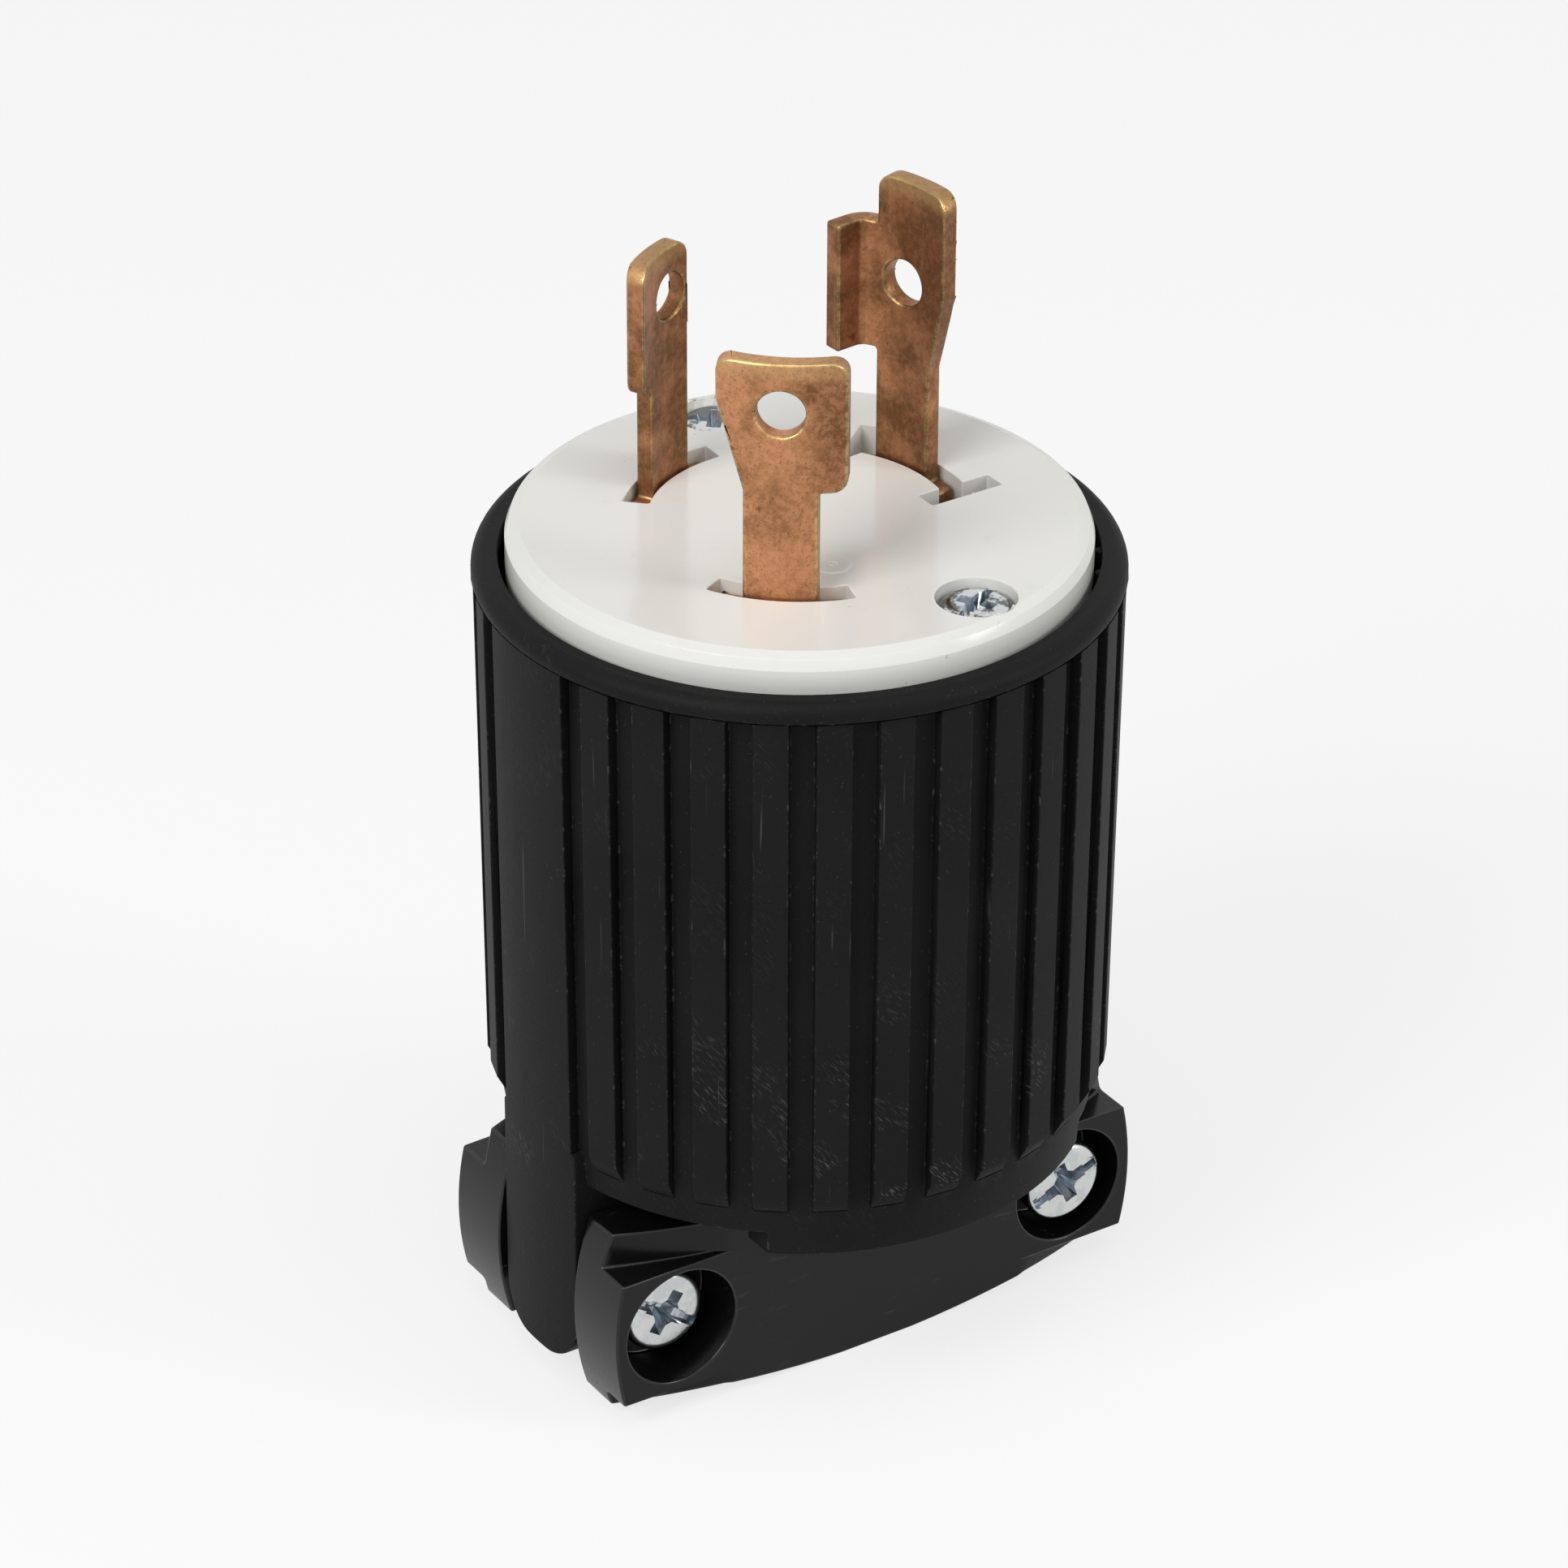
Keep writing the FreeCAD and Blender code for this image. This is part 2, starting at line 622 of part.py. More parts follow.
def terminal(name, angle):
    inner = "blade_outer + wire_gap"
    flat = box(name + "_plate_flat", "plate_thickness", "plate_width", "plate_height", x=inner,
               y="-plate_width / 2", z=TERMINAL_HEIGHT + " - plate_height / 2")
    lips = []
    for side, start in (("low", "-plate_width / 2"), ("high", "plate_width / 2 - plate_lip")):
        lips.append(box("%s_%s_lip" % (name, side), "plate_lip", "plate_lip", "plate_height",
                        x=inner + " - plate_lip", y=start, z=TERMINAL_HEIGHT + " - plate_height / 2"))
    hole = cylinder(name + "_plate_hole", "terminal_screw_radius + screw_clearance", "plate_thickness",
                    x=inner, z=TERMINAL_HEIGHT, turn="90", axis="0; 1; 0")
    plate = cut(name + "_plate_bored", fuse(name + "_plate_bent", flat, *lips), hole)
    labelled(placed(plate, turn=angle), name + "_plate")
    seat = inner + " + plate_thickness"
    head = cylinder(name + "_head", "terminal_head_radius", "terminal_head", x=seat, z=TERMINAL_HEIGHT,
                    turn="90", axis="0; 1; 0")
    shank = cylinder(name + "_shank", "terminal_screw_radius", seat + " - terminal_screw_tip",
                     x="terminal_screw_tip", z=TERMINAL_HEIGHT, turn="90", axis="0; 1; 0")
    screw = slotted_head(name, fuse(name + "_turned", head, shank), seat + " + terminal_head",
                         "2 * terminal_head_radius")
    labelled(placed(screw, turn=angle), name + "_screw")


# Face screws: slotted heads sunk in the white disc, threaded into the bosses of the housing.
def face_screw(side, sign):
    top = "face_top - face_head_sink"
    seat = "face_top - face_head_sink - face_head"
    name = "face_screw_" + side
    head = cylinder(name + "_head", "face_head_radius", "face_head", z=seat)
    shank = cylinder(name + "_shank", "face_screw_radius", "face_screw_length",
                     z=seat + " - face_screw_length")
    groove = box(name + "_slot", "2 * face_head_radius", "drive_slot", "drive_depth",
                 x="-face_head_radius", y="-drive_slot / 2", z=top + " - drive_depth")
    screw = cut(name + "_slotted", fuse(name + "_turned", head, shank), groove)
    labelled(placed(screw, x="face_screw_x", y=sign + "face_screw_y"), name)


# Cord clamp: two like halves with bellied lower edges. Each is made as the front half.
def clamp_blank(side):
    ear = "clamp_face - clamp_ear_gap - lug_half_width"
    reach = "2 * clamp_end_radius"
    name = "clamp_" + side
    ears = box(name + "_ears", reach, ear, "clamp_top", x="-clamp_end_radius", y="-clamp_face")
    middle = box(name + "_middle", "2 * (lug_inner - clamp_ear_gap)", "clamp_face - clamp_gap", "clamp_top",
                 x="-lug_inner + clamp_ear_gap", y="-clamp_face")
    block = fuse(name + "_block", ears, middle)
    ends = cylinder(name + "_ends", "clamp_end_radius", "2 * clamp_face", y="clamp_face",
                    z="clamp_end_height", turn="90", axis="1; 0; 0")
    belly = cylinder(name + "_belly", "belly_radius", "2 * clamp_face", y="clamp_face",
                     z="belly_radius - belly_flat", turn="90", axis="1; 0; 0")
    above = box(name + "_above", reach, "clamp_face", "clamp_top - ear_bottom", x="-clamp_end_radius",
                y="-clamp_face", z="ear_bottom")
    bellied = common(name + "_bellied", block, ends, fuse(name + "_bottom", belly, above))
    saddle = cylinder(name + "_saddle", "saddle_radius", "clamp_top")
    ridge = ring(name + "_grip", "saddle_radius - grip_height", "clamp_end_radius / 2", "grip_width",
                 z="grip_low")
    opened = cut(name + "_opened", saddle, ridge)
    steps = []
    for level, prefix, low, high in (("upper", "", "clamp_ledge", "clamp_top"),
                                     ("lower", "low_", "0", "clamp_low_ledge")):
        block = box("%s_%s_step" % (name, level), reach, "clamp_face", "%s - %s" % (high, low),
                    x="-clamp_end_radius", y="-clamp_face", z=low)
        riser = cylinder("%s_%s_riser" % (name, level), prefix + "riser_radius", "clamp_top",
                         y="%sriser_radius - %sriser_reach" % (prefix, prefix))
        steps.append(cut("%s_%s_ledge" % (name, level), block, riser))
    return bellied, [opened] + steps


def clamp_bores(side, seat_name, seat_tool):
    """Clearance holes and sunk seats at both ears of a clamp half."""
    tools = []
    for end, sign in (("left", "-"), ("right", "")):
        tools.append(cylinder("clamp_%s_%s_hole" % (side, end), "clamp_screw_radius + screw_clearance",
                              "clamp_face", x=sign + "clamp_screw_x", z="clamp_screw_z", turn="90",
                              axis="1; 0; 0"))
        tools.append(seat_tool("clamp_%s_%s_%s" % (side, end, seat_name), sign))
    return tools


def counterbore(name, sign):
    return cylinder(name, "counterbore_radius", "counterbore_depth", x=sign + "clamp_screw_x",
                    y="-clamp_face + counterbore_depth", z="clamp_screw_z", turn="90", axis="1; 0; 0")


def hexagon(name, flats, height, x, y, z):
    """A six-sided prism that lies along -Y, with two flats level."""
    prism = doc.addObject("Part::Prism", name)
    prism.Polygon = 6
    bind(prism, Circumradius="(%s) / 2 / cos(30)" % flats, Height=height)
    return placed(prism, x, y, z, "90", "1; 0; 0")


def nut_pocket(name, sign):
    return hexagon(name, "nut_flats + 2 * nut_clearance", "clamp_face - nut_seat", sign + "clamp_screw_x",
                   "-nut_seat", "clamp_screw_z")


def clamp():
    bellied, tools = clamp_blank("front")
    tools += clamp_bores("front", "counterbore", counterbore)
    labelled(cut("clamp_front_cut", bellied, *tools), "clamp_front")
    bellied, tools = clamp_blank("rear")
    tools += clamp_bores("rear", "pocket", nut_pocket)
    rear = cut("clamp_rear_cut", bellied, *tools)
    labelled(placed(rear, y="rear_offset", turn="180"), "clamp_rear")


def clamp_screw(end, sign, turn, slack="0"):
    """A clamp screw, backed off its seat by the slack, and its nut."""
    name = "clamp_screw_" + end
    seat = "-clamp_face + counterbore_depth"
    head = cylinder(name + "_head", "clamp_head_radius", "clamp_head", y=seat, turn="90", axis="1; 0; 0")
    shank = cylinder(name + "_shank", "clamp_screw_radius", "clamp_screw_end - (%s)" % seat,
                     y="clamp_screw_end", turn="90", axis="1; 0; 0")
    across = box(name + "_slot", "2 * clamp_head_radius", "drive_depth", "drive_slot",
                 x="-clamp_head_radius", y=seat + " - clamp_head", z="-drive_slot / 2")
    upright = box(name + "_cross", "drive_slot", "drive_depth", "2 * drive_cross",
                  x="-drive_slot / 2", y=seat + " - clamp_head", z="-drive_cross")
    screw = cut(name + "_driven", fuse(name + "_turned", head, shank), across, upright)
    place = placed(screw, x=sign + "clamp_screw_x", y="-(%s)" % slack, z="clamp_screw_z",
                   turn="-(%s)" % turn, axis="0; 1; 0")
    labelled(place, name)
    nut_name = "clamp_nut_" + end
    nut = hexagon(nut_name + "_hex", "nut_flats", "nut_thickness", "0",
                  "nut_seat + rear_offset + nut_thickness", "clamp_screw_z")
    thread = cylinder(nut_name + "_thread", "clamp_screw_radius", "nut_thickness",
                      y="nut_seat + rear_offset + nut_thickness", z="clamp_screw_z", turn="90",
                      axis="1; 0; 0")
    labelled(placed(cut(nut_name + "_tapped", nut, thread), x=sign + "clamp_screw_x"), nut_name)


housing()
front_face()
terminal_carrier()
line_blades()
ground_blade()
for terminal_name, terminal_angle in TERMINALS:
    terminal(terminal_name, terminal_angle)
face_screw("front", "-")
face_screw("rear", "")
clamp()
clamp_screw("left", "-", "left_drive_angle")
clamp_screw("right", "", "right_drive_angle", "right_screw_slack")
doc.recompute()

faults = []
for thing in doc.Objects:
    if "Invalid" in thing.State or "Error" in thing.State:
        faults.append("%s is %s" % (thing.Name, thing.State))
for piece in pieces:
    if piece.Shape.isNull() or not piece.Shape.isValid():
        faults.append("%s has no valid shape" % piece.Label)
    elif len(piece.Shape.Solids) != 1:
        faults.append("%s has %d solids" % (piece.Label, len(piece.Shape.Solids)))
if faults:
    raise RuntimeError("; ".join(faults))

os.makedirs("parts", exist_ok=True)
for piece in pieces:
    piece.Shape.exportStep("parts/%s.step" % piece.Label)
    extent = piece.Shape.BoundBox
    print("%-18s %8.1f mm3  x %6.2f to %6.2f  y %6.2f to %6.2f  z %6.2f to %6.2f" % (
        piece.Label, piece.Shape.Volume, extent.XMin, extent.XMax, extent.YMin, extent.YMax,
        extent.ZMin, extent.ZMax))
print("%d pieces" % len(pieces))
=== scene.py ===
# %% [markdown]
# # A locking power plug
#
# The plug stands on its cord clamp with its three curved blades up. Its pieces come from the packed
# model, which is the fixed frame: nothing there is moved or resized. This lesson gives each piece
# the softened edges, the screw heads, the threads and the finish that the real one has.

# %% Load the frame
from math import atan2, ceil, cos, hypot, pi, radians, sin, sqrt

import bmesh
import bpy
from mathutils import Matrix, Vector


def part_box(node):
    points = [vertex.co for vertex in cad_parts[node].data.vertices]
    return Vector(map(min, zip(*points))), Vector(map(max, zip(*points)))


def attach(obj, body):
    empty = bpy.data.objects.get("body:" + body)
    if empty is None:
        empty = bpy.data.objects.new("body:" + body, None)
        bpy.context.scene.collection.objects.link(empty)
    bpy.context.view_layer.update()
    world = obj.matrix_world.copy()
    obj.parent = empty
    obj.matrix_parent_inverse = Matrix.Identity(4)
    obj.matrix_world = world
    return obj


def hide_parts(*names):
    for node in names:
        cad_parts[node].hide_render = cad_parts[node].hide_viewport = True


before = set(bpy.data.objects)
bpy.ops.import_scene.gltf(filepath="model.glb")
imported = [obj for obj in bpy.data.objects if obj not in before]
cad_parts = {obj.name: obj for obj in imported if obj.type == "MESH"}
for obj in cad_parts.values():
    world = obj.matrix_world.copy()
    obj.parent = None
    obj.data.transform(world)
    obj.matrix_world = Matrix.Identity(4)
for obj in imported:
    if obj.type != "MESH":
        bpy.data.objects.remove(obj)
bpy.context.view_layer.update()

MM = 0.001

# %% [markdown]
# ## Working by hand
#
# Every modelling step below is one that a person would do with the mouse: pick an object, enter edit
# mode, pick faces or edges, and use a tool. Operators act on whatever is selected, and the packed
# pieces arrive selected, so each step starts by dropping the old selection.


# %% Helpers for selecting and editing
def hold(piece):
    """Makes one object the only selected and the active one."""
    bpy.ops.object.select_all(action="DESELECT")
    piece.select_set(True)
    bpy.context.view_layer.objects.active = piece


def edit(piece, mode="EDGE"):
    hold(piece)
    bpy.ops.object.mode_set(mode="EDIT")
    bpy.ops.mesh.select_mode(type=mode)
    bpy.ops.mesh.select_all(action="DESELECT")


def leave():
    bpy.ops.object.mode_set(mode="OBJECT")


def pick(piece, kind, test):
    """In edit mode, selects the vertices, edges or faces that pass a test, and counts them."""
    mesh = bmesh.from_edit_mesh(piece.data)
    count = 0
    for part in getattr(mesh, kind):
        if test(part):
            part.select_set(True)
            count += 1
    mesh.select_flush_mode()
    bmesh.update_edit_mesh(piece.data)
    return count


def apply_all(piece):
    hold(piece)
    for modifier in list(piece.modifiers):
        bpy.ops.object.modifier_apply(modifier=modifier.name)


def settle(piece):
    """Puts the place, turn and size of an object into its mesh."""
    hold(piece)
    bpy.ops.object.transform_apply(location=True, rotation=True, scale=True)
    return piece


def smooth(piece, limit=32):
    hold(piece)
    bpy.ops.object.shade_smooth_by_angle(angle=radians(limit))


def triangles(piece):
    return sum(len(face.vertices) - 2 for face in piece.data.polygons)


# %% [markdown]
# ## Camera
#
# The photo was taken from the front left and from above, with a long lens that hardly narrows the
# far side. The place and the aim below were worked out from the plug's own circles and edges, and
# the focal length is given in pixels of the photo, because that is how it was measured.

# %% Set the camera
CAMERA_PLACE = Vector((-190.897, -289.018, 235.650)) * MM
CAMERA_AZIMUTH = radians(-33.301)
CAMERA_ELEVATION = radians(30.012)
CAMERA_ROLL = radians(0.24)
PHOTO_WIDTH = 1932
FOCAL_PIXELS = 8109.6
SENSOR = 36.0


def camera_axes():
    """The camera's right, up and backward directions."""
    right = Vector((cos(CAMERA_AZIMUTH), sin(CAMERA_AZIMUTH), 0))
    level = cos(CAMERA_ELEVATION)
    back = Vector((sin(CAMERA_AZIMUTH) * level, -cos(CAMERA_AZIMUTH) * level, sin(CAMERA_ELEVATION)))
    up = back.cross(right)
    turned_right = right * cos(CAMERA_ROLL) + up * sin(CAMERA_ROLL)
    turned_up = up * cos(CAMERA_ROLL) - right * sin(CAMERA_ROLL)
    return turned_right, turned_up, back


lens = bpy.data.cameras.new("camera")
lens.sensor_width = SENSOR
lens.lens = FOCAL_PIXELS / PHOTO_WIDTH * SENSOR
lens.clip_start = 0.01
camera = bpy.data.objects.new("camera", lens)
bpy.context.scene.collection.objects.link(camera)
camera.matrix_world = Matrix.Translation(CAMERA_PLACE) @ Matrix(camera_axes()).transposed().to_4x4()
bpy.context.scene.camera = camera
bpy.context.scene.view_settings.view_transform = "Standard"
print("lens %.1f mm" % lens.lens)

# %% [markdown]
# ## Shader sums
#
# A material is a small network of nodes. Written node by node it is hard to read, so a socket is
# wrapped in a class whose operators add Math nodes: `1 - mask * 0.3` then means what it says.
# A second class holds the material itself, makes its nodes and lays patterns out in millimetres.


# %% Sums on sockets
class Flow:
    """A number that varies over a surface."""

    def __init__(self, finish, socket):
        self.finish = finish
        self.socket = socket

    def math(self, operation, *others):
        inputs = dict(enumerate((self,) + others))
        return self.finish.add("ShaderNodeMath", {"operation": operation}, inputs)

    def __add__(self, other):
        return self.math("ADD", other)

    def __sub__(self, other):
        return self.math("SUBTRACT", other)

    def __rsub__(self, other):
        return self.finish.add("ShaderNodeMath", {"operation": "SUBTRACT"}, {0: other, 1: self})

    def __mul__(self, other):
        return self.math("MULTIPLY", other)

    def __pow__(self, other):
        return self.math("POWER", other)

    __radd__ = __add__
    __rmul__ = __mul__

    def rise(self, low, high):
        """Goes smoothly from 0 at low to 1 at high."""
        inputs = {"Value": self, "From Min": low, "From Max": high}
        return self.finish.add("ShaderNodeMapRange", {"interpolation_type": "SMOOTHSTEP"}, inputs)

    def band(self, low, high, edge):
        """Is 1 between low and high, with soft edges."""
        return self.rise(low - edge, low + edge) * (1 - self.rise(high - edge, high + edge))


# %% A material under construction
class Finish:
    """One material under construction. Patterns are laid out in millimetres."""

    def __init__(self, name):
        self.material = bpy.data.materials.new(name)
        self.material.use_nodes = True
        self.tree = self.material.node_tree
        self.tree.nodes.clear()
        coordinates = self.add("ShaderNodeTexCoord", {}, {}, "Object")
        self.place = self.add("ShaderNodeVectorMath", {"operation": "SCALE"},
                              {0: coordinates, "Scale": 1 / MM})
        split = self.add("ShaderNodeSeparateXYZ", {}, {0: self.place})
        outputs = split.socket.node.outputs
        self.x, self.y, self.z = (Flow(self, outputs[axis]) for axis in "XYZ")

    def add(self, kind, settings, inputs, output=0):
        """Makes a node, sets it up, feeds its sockets and returns one of its outputs."""
        node = self.tree.nodes.new(kind)
        for key, value in settings.items():
            setattr(node, key, value)
        for key, value in inputs.items():
            if isinstance(value, Flow):
                self.tree.links.new(value.socket, node.inputs[key])
            else:
                node.inputs[key].default_value = value
        return Flow(self, node.outputs[output])

    def noise(self, scale, detail=2.0, rough=0.5, at=None):
        """Cloudy noise with so many lumps in a millimetre."""
        inputs = {"Vector": at or self.place, "Scale": scale, "Detail": detail, "Roughness": rough}
        return self.add("ShaderNodeTexNoise", {}, inputs)

    def stretched(self, x, y, z):
        """The place, with each axis scaled by itself."""
        inputs = {0: self.place, 1: (x, y, z)}
        return self.add("ShaderNodeVectorMath", {"operation": "MULTIPLY"}, inputs)

    def vector(self, x, y, z):
        return self.add("ShaderNodeCombineXYZ", {}, {"X": x, "Y": y, "Z": z})

    def tint(self, one, two, share):
        """Goes from one colour to another."""
        return self.add("ShaderNodeMix", {"data_type": "RGBA"}, {"Factor": share, 6: one, 7: two}, 2)

    def bump(self, height, depth, strength=1.0):
        """Turns a height into a tilted normal, with the depth in millimetres."""
        inputs = {"Height": height, "Distance": depth * MM, "Strength": strength}
        return self.add("ShaderNodeBump", {}, inputs)

    def surface(self, **inputs):
        """Ends the material in one Principled shader."""
        names = {key.replace("_", " "): value for key, value in inputs.items()}
        shader = self.add("ShaderNodeBsdfPrincipled", {}, names, "BSDF")
        out = self.tree.nodes.new("ShaderNodeOutputMaterial")
        self.tree.links.new(shader.socket, out.inputs["Surface"])
        return self.material


def grey(level, warm=0.0):
    return (level * (1 + warm), level, level * (1 - warm), 1.0)


# %% [markdown]
# ## Black nylon of the body
#
# The body is moulded in matte black nylon. Light shows two things on it: a fine grain, and the fair
# scratches that handling left on the proud faces of the ribs. Ribs and grooves differ in their
# distance from the axis, so the scratches need no painted mask: they grow where the plan radius
# says that the face stands proud. The slanted strokes lie mostly low down, where a hand or a bench
# rubs, and a few scuffs run lengthwise. The rounded corners get pale nicks of their own.
# The proud faces of the ribs are also painted a little lighter than the grooves, as painted shade in
# the grooves.

# %% Body finish
GROOVE_RADIUS = 18.75
RIB_FOOT = 16.0
RIB_HEAD = 45.0


def plan(finish):
    """The distance from the plug's axis, and the angle about it, 0 to 180 degrees on each side."""
    side = finish.y.math("SIGN")
    radius = (finish.x ** 2 + finish.y ** 2) ** 0.5
    angle = (finish.y * side).math("ARCTAN2", finish.x * side) * (180 / pi)
    return radius, angle


def scratches(finish, angle, proud):
    """Slanted strokes low on the ribs and long scuffs along them."""
    around = angle * (GROOVE_RADIUS * pi / 180)
    side = finish.y.math("SIGN")
    slant = finish.vector(around * 2.4 + finish.z * 2.1, finish.z * 0.22 - around * 0.25, side)
    strokes = finish.noise(4.2, 2.0, 0.45, slant).rise(0.56, 0.68)
    patches = finish.noise(0.2, 2.0, 0.5).rise(0.54, 0.66)
    low = finish.z.rise(RIB_FOOT - 3, RIB_FOOT)
    low = low * (1 - finish.z.rise(RIB_FOOT + 2, RIB_FOOT + 20) * 0.85)
    lengthwise = finish.vector(around * 3.2, finish.z * 0.1, side)
    scuffs = finish.noise(1.0, 2.0, 0.5, lengthwise).rise(0.68, 0.76)
    below_rim = 1 - finish.z.rise(RIB_HEAD, RIB_HEAD + 3)
    return (strokes * patches * low + scuffs * below_rim * 0.5) * (proud * 0.9 + 0.1)


def body_nylon(name, worn=False):
    finish = Finish(name)
    radius, angle = plan(finish)
    proud = radius.rise(GROOVE_RADIUS + 0.1, GROOVE_RADIUS + 0.4)
    marks = scratches(finish, angle, proud)
    grain = finish.noise(4.5, 3.0, 0.65)
    cloud = finish.noise(0.12, 3.0)
    dust = finish.noise(5.0, 2.0, 0.6).rise(0.68, 0.73)
    base = finish.tint(grey(0.0055), grey(0.009, 0.01), cloud.rise(0.3, 0.7))
    # Proud faces painted a little lighter: painted shade in the grooves.
    base = finish.tint(base, grey(0.0105), proud * 0.4)
    base = finish.tint(base, grey(0.12, 0.02), marks * 0.65)
    base = finish.tint(base, grey(0.10, 0.04), dust * 0.25)
    if worn:
        nicks = finish.noise(1.6, 3.0, 0.7).rise(0.55, 0.7)
        base = finish.tint(base, grey(0.07, 0.02), nicks * 0.6)
    rough = 0.44 + grain * 0.12 + marks * 0.12 + cloud * 0.08
    return finish.surface(Base_Color=base, Roughness=rough, Specular_IOR_Level=0.08,
                          Normal=finish.bump(grain * 0.6 + marks * 0.25, 0.016))


black_nylon = body_nylon("black_nylon")
rib_edges = body_nylon("rib_edges", worn=True)
print("body finish:", len(black_nylon.node_tree.nodes), "nodes")

# %% [markdown]
# ## Clamp, disc and inner finishes
#
# The clamp halves are black too but come glossy from a polished mould, so they are almost black
# where nothing bright is reflected, and their corners shine a little more. The front disc is glossy
# white nylon. Close to its middle the mould left a shallow round gate mark, made here as a ring of
# height for the bump, because it is far too shallow to be worth modelling. The inner insulator is
# a matte dark grey.

# %% Clamp finish
def clamp_nylon_finish(name, specular):
    finish = Finish(name)
    grain = finish.noise(3.0, 3.0, 0.6)
    cloud = finish.noise(0.15, 2.0)
    rubs = finish.noise(1.6, 3.0, 0.6, finish.stretched(0.22, 1.0, 1.5)).rise(0.6, 0.72)
    where = finish.noise(0.2).rise(0.48, 0.62)
    marks = rubs * where
    base = finish.tint(grey(0.0035), grey(0.0065), cloud)
    base = finish.tint(base, grey(0.06, 0.02), marks * 0.35)
    rough = 0.17 + grain * 0.08 + marks * 0.2
    return finish.surface(Base_Color=base, Roughness=rough, Specular_IOR_Level=specular,
                          Normal=finish.bump(grain, 0.006))


clamp_nylon = clamp_nylon_finish("clamp_nylon", 0.22)
clamp_corners = clamp_nylon_finish("clamp_corners", 0.38)
print("clamp finish:", len(clamp_nylon.node_tree.nodes), "nodes")

# %% Disc and inner finishes
GATE_MARK = (-1.78, -6.14)
GATE_RADIUS = 1.25


def white_nylon_finish():
    finish = Finish("white_nylon")
    cloud = finish.noise(0.1, 3.0)
    specks = finish.noise(1.5, 2.0, 0.6).rise(0.73, 0.77)
    smears = finish.noise(0.45, 4.0, 0.7).rise(0.58, 0.75)
    base = finish.tint((0.77, 0.77, 0.73, 1), (0.81, 0.81, 0.775, 1), cloud)
    base = finish.tint(base, (0.40, 0.33, 0.25, 1), specks * 0.45)
    base = finish.tint(base, (0.60, 0.58, 0.53, 1), smears * 0.14)
    ripple = finish.noise(0.35, 2.0)
    across, along = finish.x - GATE_MARK[0], finish.y - GATE_MARK[1]
    away = (across ** 2 + along ** 2) ** 0.5
    gate = away.rise(GATE_RADIUS - 0.25, GATE_RADIUS) + away.band(0.15, 0.3, 0.08) * 0.5
    rough = 0.13 + smears * 0.1 + ripple * 0.05
    return finish.surface(Base_Color=base, Roughness=rough, Specular_IOR_Level=0.5,
                          Normal=finish.bump(ripple * 0.3 + gate, 0.05, 0.7))


def inner_insulator_finish():
    finish = Finish("inner_insulator")
    grain = finish.noise(3.0, 3.0, 0.6)
    base = finish.tint(grey(0.03), grey(0.05), finish.noise(0.3))
    return finish.surface(Base_Color=base, Roughness=0.5 + grain * 0.12,
                          Normal=finish.bump(grain, 0.012))


white_nylon = white_nylon_finish()
inner_insulator = inner_insulator_finish()
print("disc finish:", len(white_nylon.node_tree.nodes), "nodes")

# %% [markdown]
# ## Metals
#
# The blades are rolled from a copper alloy strip that has gone brown in places. Its colour is mottled
# from pink to olive, with faint streaks along the strip and dark specks. The tips carry a painted
# golden highlight, and each head darkens towards one side, partly brown and partly painted shade.
# Corners are rubbed, so the narrow faces that a Bevel modifier makes take a brighter material of
# their own. The two rear blades have gone browner than the front one. The screws and plates are
# plated, with a cloudy darker film here and there, on the face screws partly painted reflection.

# %% Blade finish
# The side towards which each head darkens: partly browning, partly painted shade.
SHADE_AND_BROWNING_SIDE = radians(-33.301)
STRIP_COLOURS = ((0.57, 0.265, 0.13, 1), (0.165, 0.068, 0.026, 1), (0.62, 0.31, 0.17, 1))
CORNER_COLOURS = ((0.50, 0.29, 0.13, 1), (0.17, 0.10, 0.045, 1), (0.80, 0.55, 0.26, 1))
OLIVE = (0.24, 0.135, 0.055, 1)
# Gold of the painted highlight along the blade tips.
TIP_HIGHLIGHT_GOLD = (0.58, 0.38, 0.17, 1)
SPECK = (0.10, 0.052, 0.03, 1)
PIT = (0.04, 0.02, 0.012, 1)


